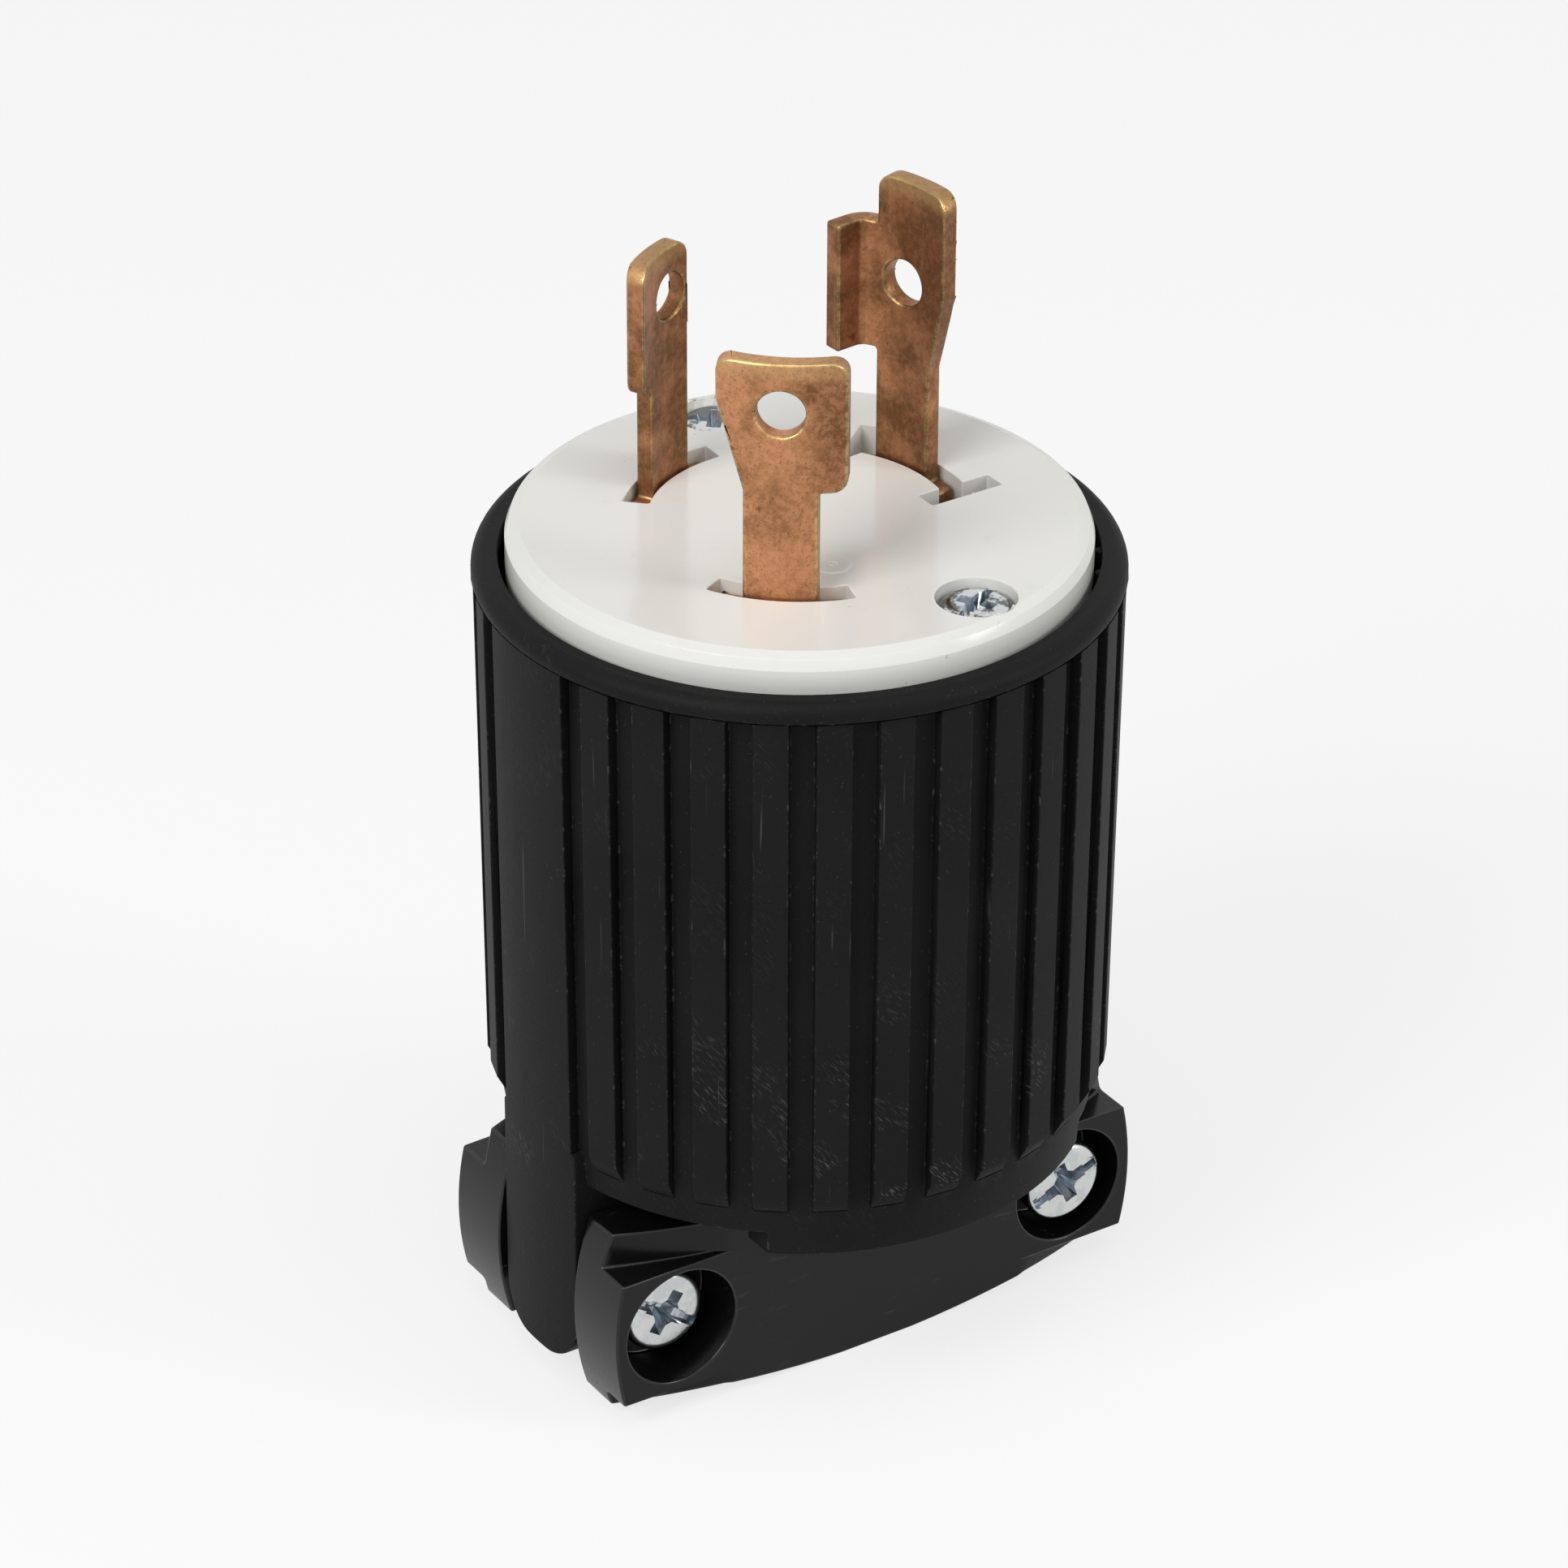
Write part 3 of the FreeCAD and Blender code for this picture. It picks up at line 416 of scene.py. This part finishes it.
def blade_metal_finish(name, node, age, worn=False):
    """The strip's finish. Age runs from 0, freshly coppery, to 1, brown all over."""
    finish = Finish(name)
    low, high = (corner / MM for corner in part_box(node))
    middle = (low + high) / 2
    # Each head darkens towards that side: partly browning, partly painted shade and painted dark
    # reflection.
    sideways = (finish.x - middle.x) * cos(SHADE_AND_BROWNING_SIDE) + (finish.y - middle.y) * sin(SHADE_AND_BROWNING_SIDE)
    shade_and_browning = sideways.rise(-0.5, 3.5) * finish.z.rise(high.z - 11, high.z - 6)
    streaks = finish.noise(1.0, 3.0, 0.6, finish.stretched(3.0, 3.0, 0.12))
    cloud = finish.noise(0.32, 4.0, 0.6)
    mottle = finish.noise(2.2, 4.0, 0.75)
    specks = finish.noise(6.5, 3.0, 0.7).rise(0.54, 0.68)
    # A painted highlight along the top of each tip, where a rounder tip would catch the light.
    tip_highlight = finish.z.rise(high.z - 1.4, high.z - 0.5)
    pits = finish.noise(1.3, 2.0, 0.5).rise(0.7, 0.78)
    copper, brown, pale = CORNER_COLOURS if worn else STRIP_COLOURS
    aged = cloud.rise(0.42 - 0.12 * age, 0.7) * (0.6 + 0.25 * age) + 0.38 * age
    fresh = mottle.rise(0.58, 0.4) * 0.35 + streaks.rise(0.55, 0.75) * 0.25
    base = finish.tint(copper, brown, aged + shade_and_browning * 0.85)
    base = finish.tint(base, OLIVE, mottle.rise(0.42, 0.62) * 0.26)
    base = finish.tint(base, pale, fresh * (1 - 0.4 * age))
    base = finish.tint(base, TIP_HIGHLIGHT_GOLD, tip_highlight * 0.4)
    base = finish.tint(base, SPECK, specks * 0.5)
    base = finish.tint(base, PIT, pits * 0.5)
    rough = 0.40 + cloud * 0.14 + specks * 0.12
    if worn:
        rough = 0.26 + cloud * 0.16
    return finish.surface(Base_Color=base, Metallic=1.0, Roughness=rough,
                          Normal=finish.bump(mottle * 0.6 - specks * 0.5, 0.014))


# %% Plated finishes
def plated(name, colour, dark, rough, dark_patch_share=0.6):
    finish = Finish(name)
    cloud = finish.noise(0.9, 3.0, 0.6)
    grain = finish.noise(5.0, 2.0)
    base = finish.tint(colour, dark, cloud.rise(0.45, 0.75 - 0.25 * dark_patch_share) * dark_patch_share)
    return finish.surface(Base_Color=base, Metallic=1.0, Roughness=rough + grain * 0.1,
                          Normal=finish.bump(grain, 0.006))


plate_brass = plated("plate_brass", (0.66, 0.46, 0.20, 1), (0.45, 0.3, 0.13, 1), 0.28)
brass_screw = plated("brass_screw", (0.70, 0.50, 0.23, 1), (0.5, 0.34, 0.15, 1), 0.22)
silver_screw = plated("silver_screw", (0.72, 0.73, 0.74, 1), (0.55, 0.56, 0.57, 1), 0.2)
green_screw = plated("green_screw", (0.10, 0.32, 0.16, 1), (0.06, 0.2, 0.10, 1), 0.3)
zinc_screw = plated("zinc_screw", (0.63, 0.64, 0.63, 1), (0.5, 0.53, 0.55, 1), 0.17)
# Near-black patches on the face screws: partly a dirty film, partly painted dark reflection.
face_screw_film_and_reflection = plated("face_screw_film_and_reflection", (0.60, 0.62, 0.62, 1), (0.05, 0.056, 0.06, 1), 0.12,
                         dark_patch_share=0.85)
# Darker zinc for the recess faces, as painted shade.
recess_painted_shade = plated("recess_painted_shade", (0.46, 0.50, 0.54, 1), (0.18, 0.205, 0.235, 1), 0.14)
print("materials so far:", len(bpy.data.materials))

# %% [markdown]
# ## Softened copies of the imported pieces
#
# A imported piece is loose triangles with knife-sharp corners, and no moulded or stamped part has
# those. A copy is merged into one skin, its flat triangles are joined, and a Bevel modifier rolls
# every sharp corner over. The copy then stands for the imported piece, at the same place and size.

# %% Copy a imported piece
MERGE_DISTANCE = 0.002 * MM
FLAT_ANGLE = radians(0.6)


def merged(node, name):
    """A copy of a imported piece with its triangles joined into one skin."""
    piece = bpy.data.objects.new(name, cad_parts[node].data.copy())
    bpy.context.scene.collection.objects.link(piece)
    piece.data.materials.clear()
    edit(piece)
    bpy.ops.mesh.select_all(action="SELECT")
    bpy.ops.mesh.customdata_custom_splitnormals_clear()
    bpy.ops.mesh.remove_doubles(threshold=MERGE_DISTANCE)
    bpy.ops.mesh.dissolve_limited(angle_limit=FLAT_ANGLE)
    leave()
    return piece


# %% Soften and show a piece
def soften(piece, width, segments=2, limit=28, edge_material=-1):
    """Rolls over the sharp corners of a piece, and keeps its large faces evenly shaded."""
    bevel = piece.modifiers.new("soft_corners", "BEVEL")
    bevel.limit_method = "ANGLE"
    bevel.angle_limit = radians(limit)
    bevel.width = width * MM
    bevel.segments = segments
    bevel.use_clamp_overlap = False
    bevel.material = edge_material
    bevel.miter_outer = "MITER_ARC"
    apply_all(piece)
    smooth(piece)
    level = piece.modifiers.new("level_faces", "WEIGHTED_NORMAL")
    level.keep_sharp = True
    level.weight = 90
    apply_all(piece)


def show(piece, slot, *materials, replaced):
    """Gives a piece its finish and its body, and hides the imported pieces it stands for."""
    while len(piece.data.materials) < len(materials):
        piece.data.materials.append(None)
    for index, material in enumerate(materials):
        piece.data.materials[index] = material
    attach(piece, "root")
    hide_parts(*replaced)
    print("%-24s %6d triangles" % (piece.name, triangles(piece)))


# %% [markdown]
# ## Room for the bevels
#
# A bevel needs room: where a packed facet is narrower than the bevel, the new faces run over each
# other and crease. Joining all facets of a curved face would flatten it. So a curved strip is cut
# into an even grid with the Bisect tool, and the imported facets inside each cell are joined. On the
# blades and on the clamp, the narrow facets that run along a sharp corner are joined too.

# %% Cut a curved strip into a grid
HAIR = 0.003 * MM


def cut_plane(place, normal):
    bpy.ops.mesh.select_all(action="SELECT")
    bpy.ops.mesh.bisect(plane_co=place, plane_no=normal, threshold=HAIR / 3)


def on_strip(edge):
    """True inside the strip's two curved faces, whose normals run to and from the plug's axis."""
    for face in edge.link_faces:
        away = face.calc_center_median()
        away.z = 0
        if abs(face.normal.dot(away.normalized())) < 0.85:
            return False
    return edge.calc_face_angle(0) < radians(8)


def grid_cuts(piece, step, turn):
    """Cuts a piece at even heights and at even angles about the plug's axis."""
    edit(piece)
    corners = [vertex.co.copy() for vertex in bmesh.from_edit_mesh(piece.data).verts]
    low, high = min(corner.z for corner in corners), max(corner.z for corner in corners)
    levels = [low + (index + 0.5) * step for index in range(int((high - low) / step))]
    centre = sum(corners, Vector()) / len(corners)
    facing = atan2(centre.y, centre.x)
    turned = [corner.xy @ Matrix.Rotation(facing, 2) for corner in corners]
    spread = [atan2(corner[1], corner[0]) for corner in turned]
    first, last = ceil(min(spread) / turn), ceil(max(spread) / turn)
    angles = [facing + index * turn for index in range(first, last)]
    for level in levels:
        cut_plane((0, 0, level), (0, 0, 1))
    for angle in angles:
        cut_plane((0, 0, 0), (-sin(angle), cos(angle), 0))

    def stray(edge):
        """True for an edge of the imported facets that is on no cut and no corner."""
        if not on_strip(edge):
            return False
        for level in levels:
            if all(abs(vertex.co.z - level) < HAIR for vertex in edge.verts):
                return False
        for angle in angles:
            if all(abs(vertex.co.y * cos(angle) - vertex.co.x * sin(angle)) < HAIR
                   for vertex in edge.verts):
                return False
        return True

    bpy.ops.mesh.select_all(action="DESELECT")
    pick(piece, "edges", stray)
    bpy.ops.mesh.dissolve_edges(use_verts=False)
    leave()


# %% Clear the way along sharp corners
def clear_beside_corners(piece, room):
    """Joins the narrow facets that run along a sharp corner, so that its bevel has room."""
    edit(piece)
    mesh = bmesh.from_edit_mesh(piece.data)
    sharp = [edge for edge in mesh.edges if edge.calc_face_angle(0) > radians(25)]
    lines = [(edge.verts[0].co.copy(), edge.verts[1].co.copy()) for edge in sharp]

    def crowds(edge):
        """True for a flat edge that lies near a sharp one and runs the same way."""
        if edge.calc_face_angle(0) > radians(3) and not on_strip(edge):
            return False
        middle = (edge.verts[0].co + edge.verts[1].co) / 2
        course = (edge.verts[1].co - edge.verts[0].co).normalized()
        for start, end in lines:
            along = end - start
            share = max(0, min(1, (middle - start).dot(along) / max(along.length_squared, 1e-18)))
            near = (middle - start - along * share).length < room
            if near and abs(course.dot(along.normalized())) > 0.6:
                return True
        return False

    count = pick(piece, "edges", crowds)
    if count:
        bpy.ops.mesh.dissolve_edges(use_verts=False)
    leave()
    return count


# %% [markdown]
# ## Housing
#
# The ribbed shell is one moulding. Its rim is a round bead that catches the light, so the rings of
# edges along it are rounded first and further than the rest. The ribs get the small corner radius
# that a mould cutter leaves, and the new narrow faces there take the rubbed finish.

# %% Round the rings about the axis
RING_REACH = 0.06


def roll_rings(piece, rings, offset, segments):
    """Rounds chosen rings of edges about the plug's axis. A ring is its radius and height in mm."""
    edit(piece)

    def on_ring(edge):
        for radius, height in rings:
            if all(abs(hypot(vertex.co.x, vertex.co.y) / MM - radius) < RING_REACH
                   and abs(vertex.co.z / MM - height) < RING_REACH for vertex in edge.verts):
                return True
        return False

    count = pick(piece, "edges", on_ring)
    bpy.ops.mesh.bevel(offset=offset * MM, offset_type="OFFSET", segments=segments, profile=0.5,
                       affect="EDGES", clamp_overlap=True)
    leave()
    return count


# %% Housing
RIM_RADIUS = 19.6
RIM_TOP = 51.9
RIM_ROUND = 0.5
RIM_BEVEL = 0.3
RIB_CORNER = 0.1

rim_rings = [(RIM_RADIUS, RIM_TOP - RIM_ROUND), (RIM_RADIUS - RIM_ROUND, RIM_TOP)]
housing = merged("housing", "ribbed_housing")
rolled = roll_rings(housing, rim_rings, RIM_BEVEL, 4)
housing.data.materials.append(black_nylon)
housing.data.materials.append(rib_edges)
soften(housing, RIB_CORNER, 2, edge_material=1)
show(housing, "black_nylon", black_nylon, rib_edges, replaced=["housing"])
print("rim edges rounded:", rolled)

# %% [markdown]
# ## Front disc
#
# The white disc has a full round along its upper edge, which shows as one long bright line. The
# packed disc has it as two narrow flats, and rounding the three rings between them makes it whole.

# %% Front disc
DISC_RADIUS = 17.56
DISC_TOP = 54.0
DISC_ROUND = 0.9
DISC_BEVEL = 0.32
SLOT_CORNER = 0.12

inset = DISC_ROUND * (1 - cos(radians(45)))
disc_rings = [(DISC_RADIUS, DISC_TOP - DISC_ROUND), (DISC_RADIUS - inset, DISC_TOP - inset),
              (DISC_RADIUS - DISC_ROUND, DISC_TOP)]
disc = merged("front_insulator", "front_disc")
rolled = roll_rings(disc, disc_rings, DISC_BEVEL, 4)
soften(disc, SLOT_CORNER, 2, limit=30)
show(disc, "white_nylon", white_nylon, replaced=["front_insulator"])
print("disc edges rounded:", rolled)

# %% [markdown]
# ## Blades
#
# A blade is stamped from strip and rolled to a part of a ring. Its packed form is right, and
# stamping rounds its edges a little. The copy gets the even grid first, so that the wider bevel of
# a stamped edge finds room at the corners, the tip hole and the folded hook.

# %% Blades
BLADE_AGES = {"neutral_blade": 0.1, "line_blade": 1.0, "ground_blade": 0.95}
GRID_STEP = 1.2
GRID_TURN = 4
STAMPED_CORNER = 0.18
STAMPED_ROOM = 0.3

for node, age in BLADE_AGES.items():
    blade_metal = blade_metal_finish(node + "_metal", node, age)
    blade_edges = blade_metal_finish(node + "_edges", node, age, worn=True)
    blade = merged(node, node + "_strip")
    grid_cuts(blade, GRID_STEP * MM, radians(GRID_TURN))
    joined = clear_beside_corners(blade, STAMPED_ROOM * MM)
    blade.data.materials.append(blade_metal)
    blade.data.materials.append(blade_edges)
    soften(blade, STAMPED_CORNER, 3, edge_material=1)
    show(blade, "blade_metal", blade_metal, blade_edges, replaced=[node])
    print("facets joined:", joined)

# %% [markdown]
# ## Clamp halves
#
# The cord clamp is two stout mouldings that lie about the housing's lugs. Their packed form has the
# ledges, counterbores and nut pockets already, so modelling them again would gain nothing. They are
# copied and softened, and the rounded corners take the finish that shines more, because on the
# real ones those catch short bright lines of light.

# %% Clamp halves
CLAMP_CORNER = 0.16
CLAMP_ROOM = 0.35

for node in ("clamp_front", "clamp_rear"):
    half = merged(node, node + "_half")
    joined = clear_beside_corners(half, CLAMP_ROOM * MM)
    half.data.materials.append(clamp_nylon)
    half.data.materials.append(clamp_corners)
    soften(half, CLAMP_CORNER, 3, edge_material=1)
    show(half, "clamp_nylon", clamp_nylon, clamp_corners, replaced=[node])
    print("facets joined:", joined)

# %% [markdown]
# ## Inner pieces and nuts
#
# Behind the disc an insulator holds the tails of the blades, each under a pressure plate and a
# terminal screw, and two nuts sit in the rear clamp half. They show little, so one loop softens
# them all. The terminal screws differ in colour as they do on a real plug, so that whoever wires it
# can tell them apart.

# %% Inner pieces and nuts
INNER_PIECES = {
    "terminal_carrier": ("inner_insulator", inner_insulator, 0.15),
    "neutral_plate": ("plate_brass", plate_brass, 0.15),
    "line_plate": ("plate_brass", plate_brass, 0.15),
    "ground_plate": ("plate_brass", plate_brass, 0.15),
    "neutral_screw": ("silver_screw", silver_screw, 0.12),
    "line_screw": ("brass_screw", brass_screw, 0.12),
    "ground_screw": ("green_screw", green_screw, 0.12),
    "clamp_nut_left": ("zinc_screw", zinc_screw, 0.2),
    "clamp_nut_right": ("zinc_screw", zinc_screw, 0.2),
}
for node, (slot, material, corner_width) in INNER_PIECES.items():
    piece = merged(node, node + "_soft")
    soften(piece, corner_width, 2)
    show(piece, slot, material, replaced=[node])

# %% [markdown]
# ## Screws
#
# The screws are zinc plated and take a cross driver or a flat one: four tapered wings meet in a
# wide middle, and a thin slot crosses the whole head. A head is turned, so it starts as a cylinder
# whose upper ring is rolled over. Its lower face is inset and pulled down into the shank, and each
# turn of the thread is one more pull with the ring shrunk and grown again. A helix would be truer
# but hardly shows at this size.

# %% Turn a screw
HEAD_HEIGHT = 2.0
THREAD_PITCH = 0.6
THREAD_ROOT = 0.86
TIP_TAPER = 0.8


def scale_end(factor):
    bpy.ops.transform.resize(value=(factor, factor, 1))


def pull_down(depth):
    bpy.ops.mesh.extrude_region_move(TRANSFORM_OT_translate={"value": (0, 0, -depth * MM)})


def turned_screw(name, head_radius, length, sizes):
    """A screw along the Z axis, with the top of its head at 0 and its tip at -length."""
    bpy.ops.object.select_all(action="DESELECT")
    bpy.ops.mesh.primitive_cylinder_add(vertices=48, radius=head_radius * MM, depth=HEAD_HEIGHT * MM,
                                        location=(0, 0, -HEAD_HEIGHT / 2 * MM))
    screw = bpy.context.object
    screw.name = name
    settle(screw)
    edit(screw)
    pick(screw, "edges", lambda edge: all(vertex.co.z > -0.01 * MM for vertex in edge.verts))
    bpy.ops.mesh.bevel(offset=sizes["roll"] * MM, segments=6, profile=0.55, affect="EDGES")
    leave()
    edit(screw, "FACE")
    pick(screw, "faces", lambda face: face.normal.z < -0.9)
    bpy.ops.mesh.inset(thickness=(head_radius - sizes["shank"]) * MM)
    pull_down(length - HEAD_HEIGHT - sizes["thread"])
    turns = int(sizes["thread"] / THREAD_PITCH)
    for turn in range(turns):
        for factor in (THREAD_ROOT, 1 / THREAD_ROOT):
            pull_down(THREAD_PITCH / 2)
            scale_end(factor)
    pull_down(sizes["thread"] - turns * THREAD_PITCH)
    scale_end(TIP_TAPER)
    leave()
    return screw


# %% [markdown]
# ## Screw recesses
#
# A punch leaves a recess whose walls taper inwards, which a straight cut would not show. Tapered
# bars and an eight-sided cone are modelled as the punch, and Boolean modifiers cut them out of the
# head. The cut faces take a darker zinc colour as painted shade, because little light reaches them.
# The finished screw is then turned to its drive angle and set where the imported one stands.

# %% Cutting tools
OVERRUN = 0.3
WING_WIDTH = 0.95
WING_DEPTH = 1.55
STAR_DEPTH = 1.7
SLOT_DEPTH = 0.75


def tapered_bar(length, width, depth, floor):
    """A bar that dips to the given depth below 0 and whose lower face is smaller."""
    bpy.ops.object.select_all(action="DESELECT")
    bpy.ops.mesh.primitive_cube_add(size=1, location=(0, 0, (OVERRUN - depth) / 2 * MM),
                                    scale=(length * MM, width * MM, (depth + OVERRUN) * MM))
    bar = settle(bpy.context.object)
    edit(bar, "FACE")
    pick(bar, "faces", lambda face: face.normal.z < -0.9)
    bpy.ops.transform.resize(value=floor)
    leave()
    return bar


def tapered_star(reach, depth):
    """The wide middle of a cross recess, an eight-sided cone."""
    bpy.ops.object.select_all(action="DESELECT")
    bpy.ops.mesh.primitive_cone_add(vertices=8, radius1=reach * 0.42 * MM, radius2=reach * 1.08 * MM,
                                    depth=(depth + OVERRUN) * MM,
                                    location=(0, 0, (OVERRUN - depth) / 2 * MM),
                                    rotation=(0, 0, radians(22.5)))
    return settle(bpy.context.object)


def carve(piece, tool):
    cut = piece.modifiers.new("recess", "BOOLEAN")
    cut.operation = "DIFFERENCE"
    cut.solver = "EXACT"
    cut.object = tool
    apply_all(piece)
    bpy.data.objects.remove(tool)


# %% Cut the recess
def drive_recess(screw, flat, sizes):
    """Cuts the cross and the slot, and paints the cut faces darker as painted shade."""
    roll = sizes["roll"]
    for turn in (0, 90):
        wing = tapered_bar(2 * sizes["reach"], WING_WIDTH, WING_DEPTH, (0.45, 0.6, 1))
        wing.rotation_euler = (0, 0, radians(turn))
        carve(screw, settle(wing))
    carve(screw, tapered_star(sizes["middle"], STAR_DEPTH))
    carve(screw, tapered_bar(3 * sizes["reach"], sizes["slot"], SLOT_DEPTH, (1, 0.9, 1)))
    edit(screw, "FACE")

    def in_recess(face):
        """True where a face lies under the head's turned outline."""
        centre = face.calc_center_median() / MM
        past = min(roll, max(0, centre.xy.length - flat))
        outline = sqrt(roll ** 2 - past ** 2) - roll
        within = centre.xy.length < flat + roll * 0.95
        return within and -STAR_DEPTH - 0.2 < centre.z < outline - 0.07

    count = pick(screw, "faces", in_recess)
    screw.active_material_index = 1
    bpy.ops.object.material_slot_assign()
    leave()
    print("recess faces:", count)


# %% Make and place a screw
SCREW_CORNER = 0.035


def place_screw(screw, node, upright, drive_angle):
    """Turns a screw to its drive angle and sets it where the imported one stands."""
    low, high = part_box(node)
    middle = (low + high) / 2
    turn = Matrix.Rotation(radians(drive_angle), 4, "Z")
    if upright:
        place = Matrix.Translation((middle.x, middle.y, high.z))
    else:
        place = Matrix.Translation((middle.x, low.y, middle.z)) @ Matrix.Rotation(radians(90), 4, "X")
    screw.matrix_world = place @ turn
    settle(screw)


def make_screw(node, plating, upright, drive_angle, sizes):
    """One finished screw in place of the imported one."""
    low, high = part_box(node)
    extent = high - low
    head_radius = extent.x / 2 / MM + sizes["head_play"]
    length = (extent.z if upright else extent.y) / MM
    screw = turned_screw(node + "_turned", head_radius, length, sizes)
    screw.data.materials.append(plating)
    screw.data.materials.append(recess_painted_shade)
    drive_recess(screw, head_radius - sizes["roll"], sizes)
    soften(screw, SCREW_CORNER, 2, limit=40)
    place_screw(screw, node, upright, drive_angle)
    show(screw, "zinc_screw", plating, recess_painted_shade, replaced=[node])


# %% [markdown]
# ## Clamp screws
#
# Two screws hold the clamp, and the right one is backed off a little. Their sizes are in
# millimetres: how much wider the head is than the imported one, the radius that its edge is rolled
# to, the shank's radius, the thread's length, how far the wings of the cross reach, the half width
# of its middle and the slot's width. Nobody lines up screw slots, so each screw has a drive angle
# of its own.

# %% Clamp screws
CLAMP_SCREW_SIZES = {"head_play": 0.0, "roll": 0.6, "shank": 1.75, "thread": 3.6,
                     "reach": 1.65, "middle": 0.95, "slot": 0.62}
CLAMP_SCREW_ANGLES = {"clamp_screw_left": -35, "clamp_screw_right": 21}
for node, drive_angle in CLAMP_SCREW_ANGLES.items():
    make_screw(node, zinc_screw, False, drive_angle, CLAMP_SCREW_SIZES)

# %% [markdown]
# ## Face screws
#
# Two long screws hold the disc down. Their heads are small domes, so the edge is rolled further,
# and they nearly fill their seats, so each is made a little wider than the imported one. Their
# plating has near-black patches, partly a dirty film and partly painted dark reflection.

# %% Face screws
FACE_SCREW_SIZES = {"head_play": 0.12, "roll": 0.8, "shank": 1.42, "thread": 12.0,
                    "reach": 1.3, "middle": 0.72, "slot": 0.5}
FACE_SCREW_ANGLES = {"face_screw_front": 28, "face_screw_rear": -40}
for node, drive_angle in FACE_SCREW_ANGLES.items():
    make_screw(node, face_screw_film_and_reflection, True, drive_angle, FACE_SCREW_SIZES)

# %% [markdown]
# ## Stage and light
#
# The photo has no room in it, only white. A large pale floor catches a faint shadow. The floor and
# the world glow only to rays from the camera, a mirror or a lens, and the world adds a low even
# light. Three soft lamps do the rest. The left one lights the plain flank and the ends of the
# clamp, the top one the disc and the screws, and the right one the ribs and the disc's wall.

# %% Floor and world
BACKGROUND = 0.75
WORLD_LIGHT = 0.26
FLOOR_WIDTH = 30.0


def seen_or_mirrored(tree, most):
    """Is the given value for rays from the camera, a mirror or a lens, and 0 for the rest."""
    path = tree.nodes.new("ShaderNodeLightPath")
    socket = path.outputs["Is Camera Ray"]
    for name in ("Is Glossy Ray", "Is Transmission Ray"):
        either = tree.nodes.new("ShaderNodeMath")
        either.operation = "MAXIMUM"
        tree.links.new(socket, either.inputs[0])
        tree.links.new(path.outputs[name], either.inputs[1])
        socket = either.outputs[0]
    share = tree.nodes.new("ShaderNodeMath")
    share.operation = "MULTIPLY"
    share.inputs[1].default_value = most
    tree.links.new(socket, share.inputs[0])
    return share.outputs[0]


def pale_floor():
    bpy.ops.object.select_all(action="DESELECT")
    bpy.ops.mesh.primitive_plane_add(size=FLOOR_WIDTH, location=(0, 0, 0))
    floor = bpy.context.object
    floor.name = "floor"
    material = bpy.data.materials.new("floor")
    material.use_nodes = True
    tree = material.node_tree
    tree.nodes.clear()
    diffuse = tree.nodes.new("ShaderNodeBsdfDiffuse")
    diffuse.inputs["Color"].default_value = grey(0.9)
    glow = tree.nodes.new("ShaderNodeEmission")
    mix = tree.nodes.new("ShaderNodeMixShader")
    out = tree.nodes.new("ShaderNodeOutputMaterial")
    tree.links.new(seen_or_mirrored(tree, BACKGROUND), mix.inputs[0])
    tree.links.new(diffuse.outputs[0], mix.inputs[1])
    tree.links.new(glow.outputs[0], mix.inputs[2])
    tree.links.new(mix.outputs[0], out.inputs[0])
    floor.data.materials.append(material)


def white_world(level):
    """Lights everything at one level, and is white where it is seen or mirrored."""
    world = bpy.data.worlds.new("studio")
    bpy.context.scene.world = world
    world.use_nodes = True
    tree = world.node_tree
    background = tree.nodes["Background"]
    background.inputs["Color"].default_value = grey(1.0)
    strength = tree.nodes.new("ShaderNodeMath")
    strength.operation = "ADD"
    strength.inputs[1].default_value = level
    tree.links.new(seen_or_mirrored(tree, BACKGROUND), strength.inputs[0])
    tree.links.new(strength.outputs[0], background.inputs["Strength"])


pale_floor()
white_world(WORLD_LIGHT)
print("floor and world:", BACKGROUND, WORLD_LIGHT)

# %% Lamps
LAMP_AIM = Vector((0, 0, 40)) * MM
LAMP_DISTANCE = 0.8


def softbox(name, azimuth, elevation, width, height, power):
    """An area lamp aimed at the plug. Azimuth 0 is in front and counts towards the right."""
    turn, rise = radians(azimuth), radians(elevation)
    towards = Vector((sin(turn) * cos(rise), -cos(turn) * cos(rise), sin(rise)))
    place = LAMP_AIM + LAMP_DISTANCE * towards
    facing = towards.to_track_quat("Z", "Y").to_matrix().to_4x4()
    lamp = bpy.data.lights.new(name, "AREA")
    lamp.shape = "RECTANGLE"
    lamp.size, lamp.size_y, lamp.energy = width, height, power
    holder = bpy.data.objects.new(name, lamp)
    bpy.context.scene.collection.objects.link(holder)
    holder.matrix_world = Matrix.Translation(place) @ facing
    print("%s %.1f W" % (name, power))


softbox("lamp_left", -75, 38, 0.4, 0.45, 3.7)
softbox("lamp_top", -15, 75, 0.5, 0.4, 1.6)
softbox("lamp_right", 40, 25, 0.25, 0.4, 1.8)
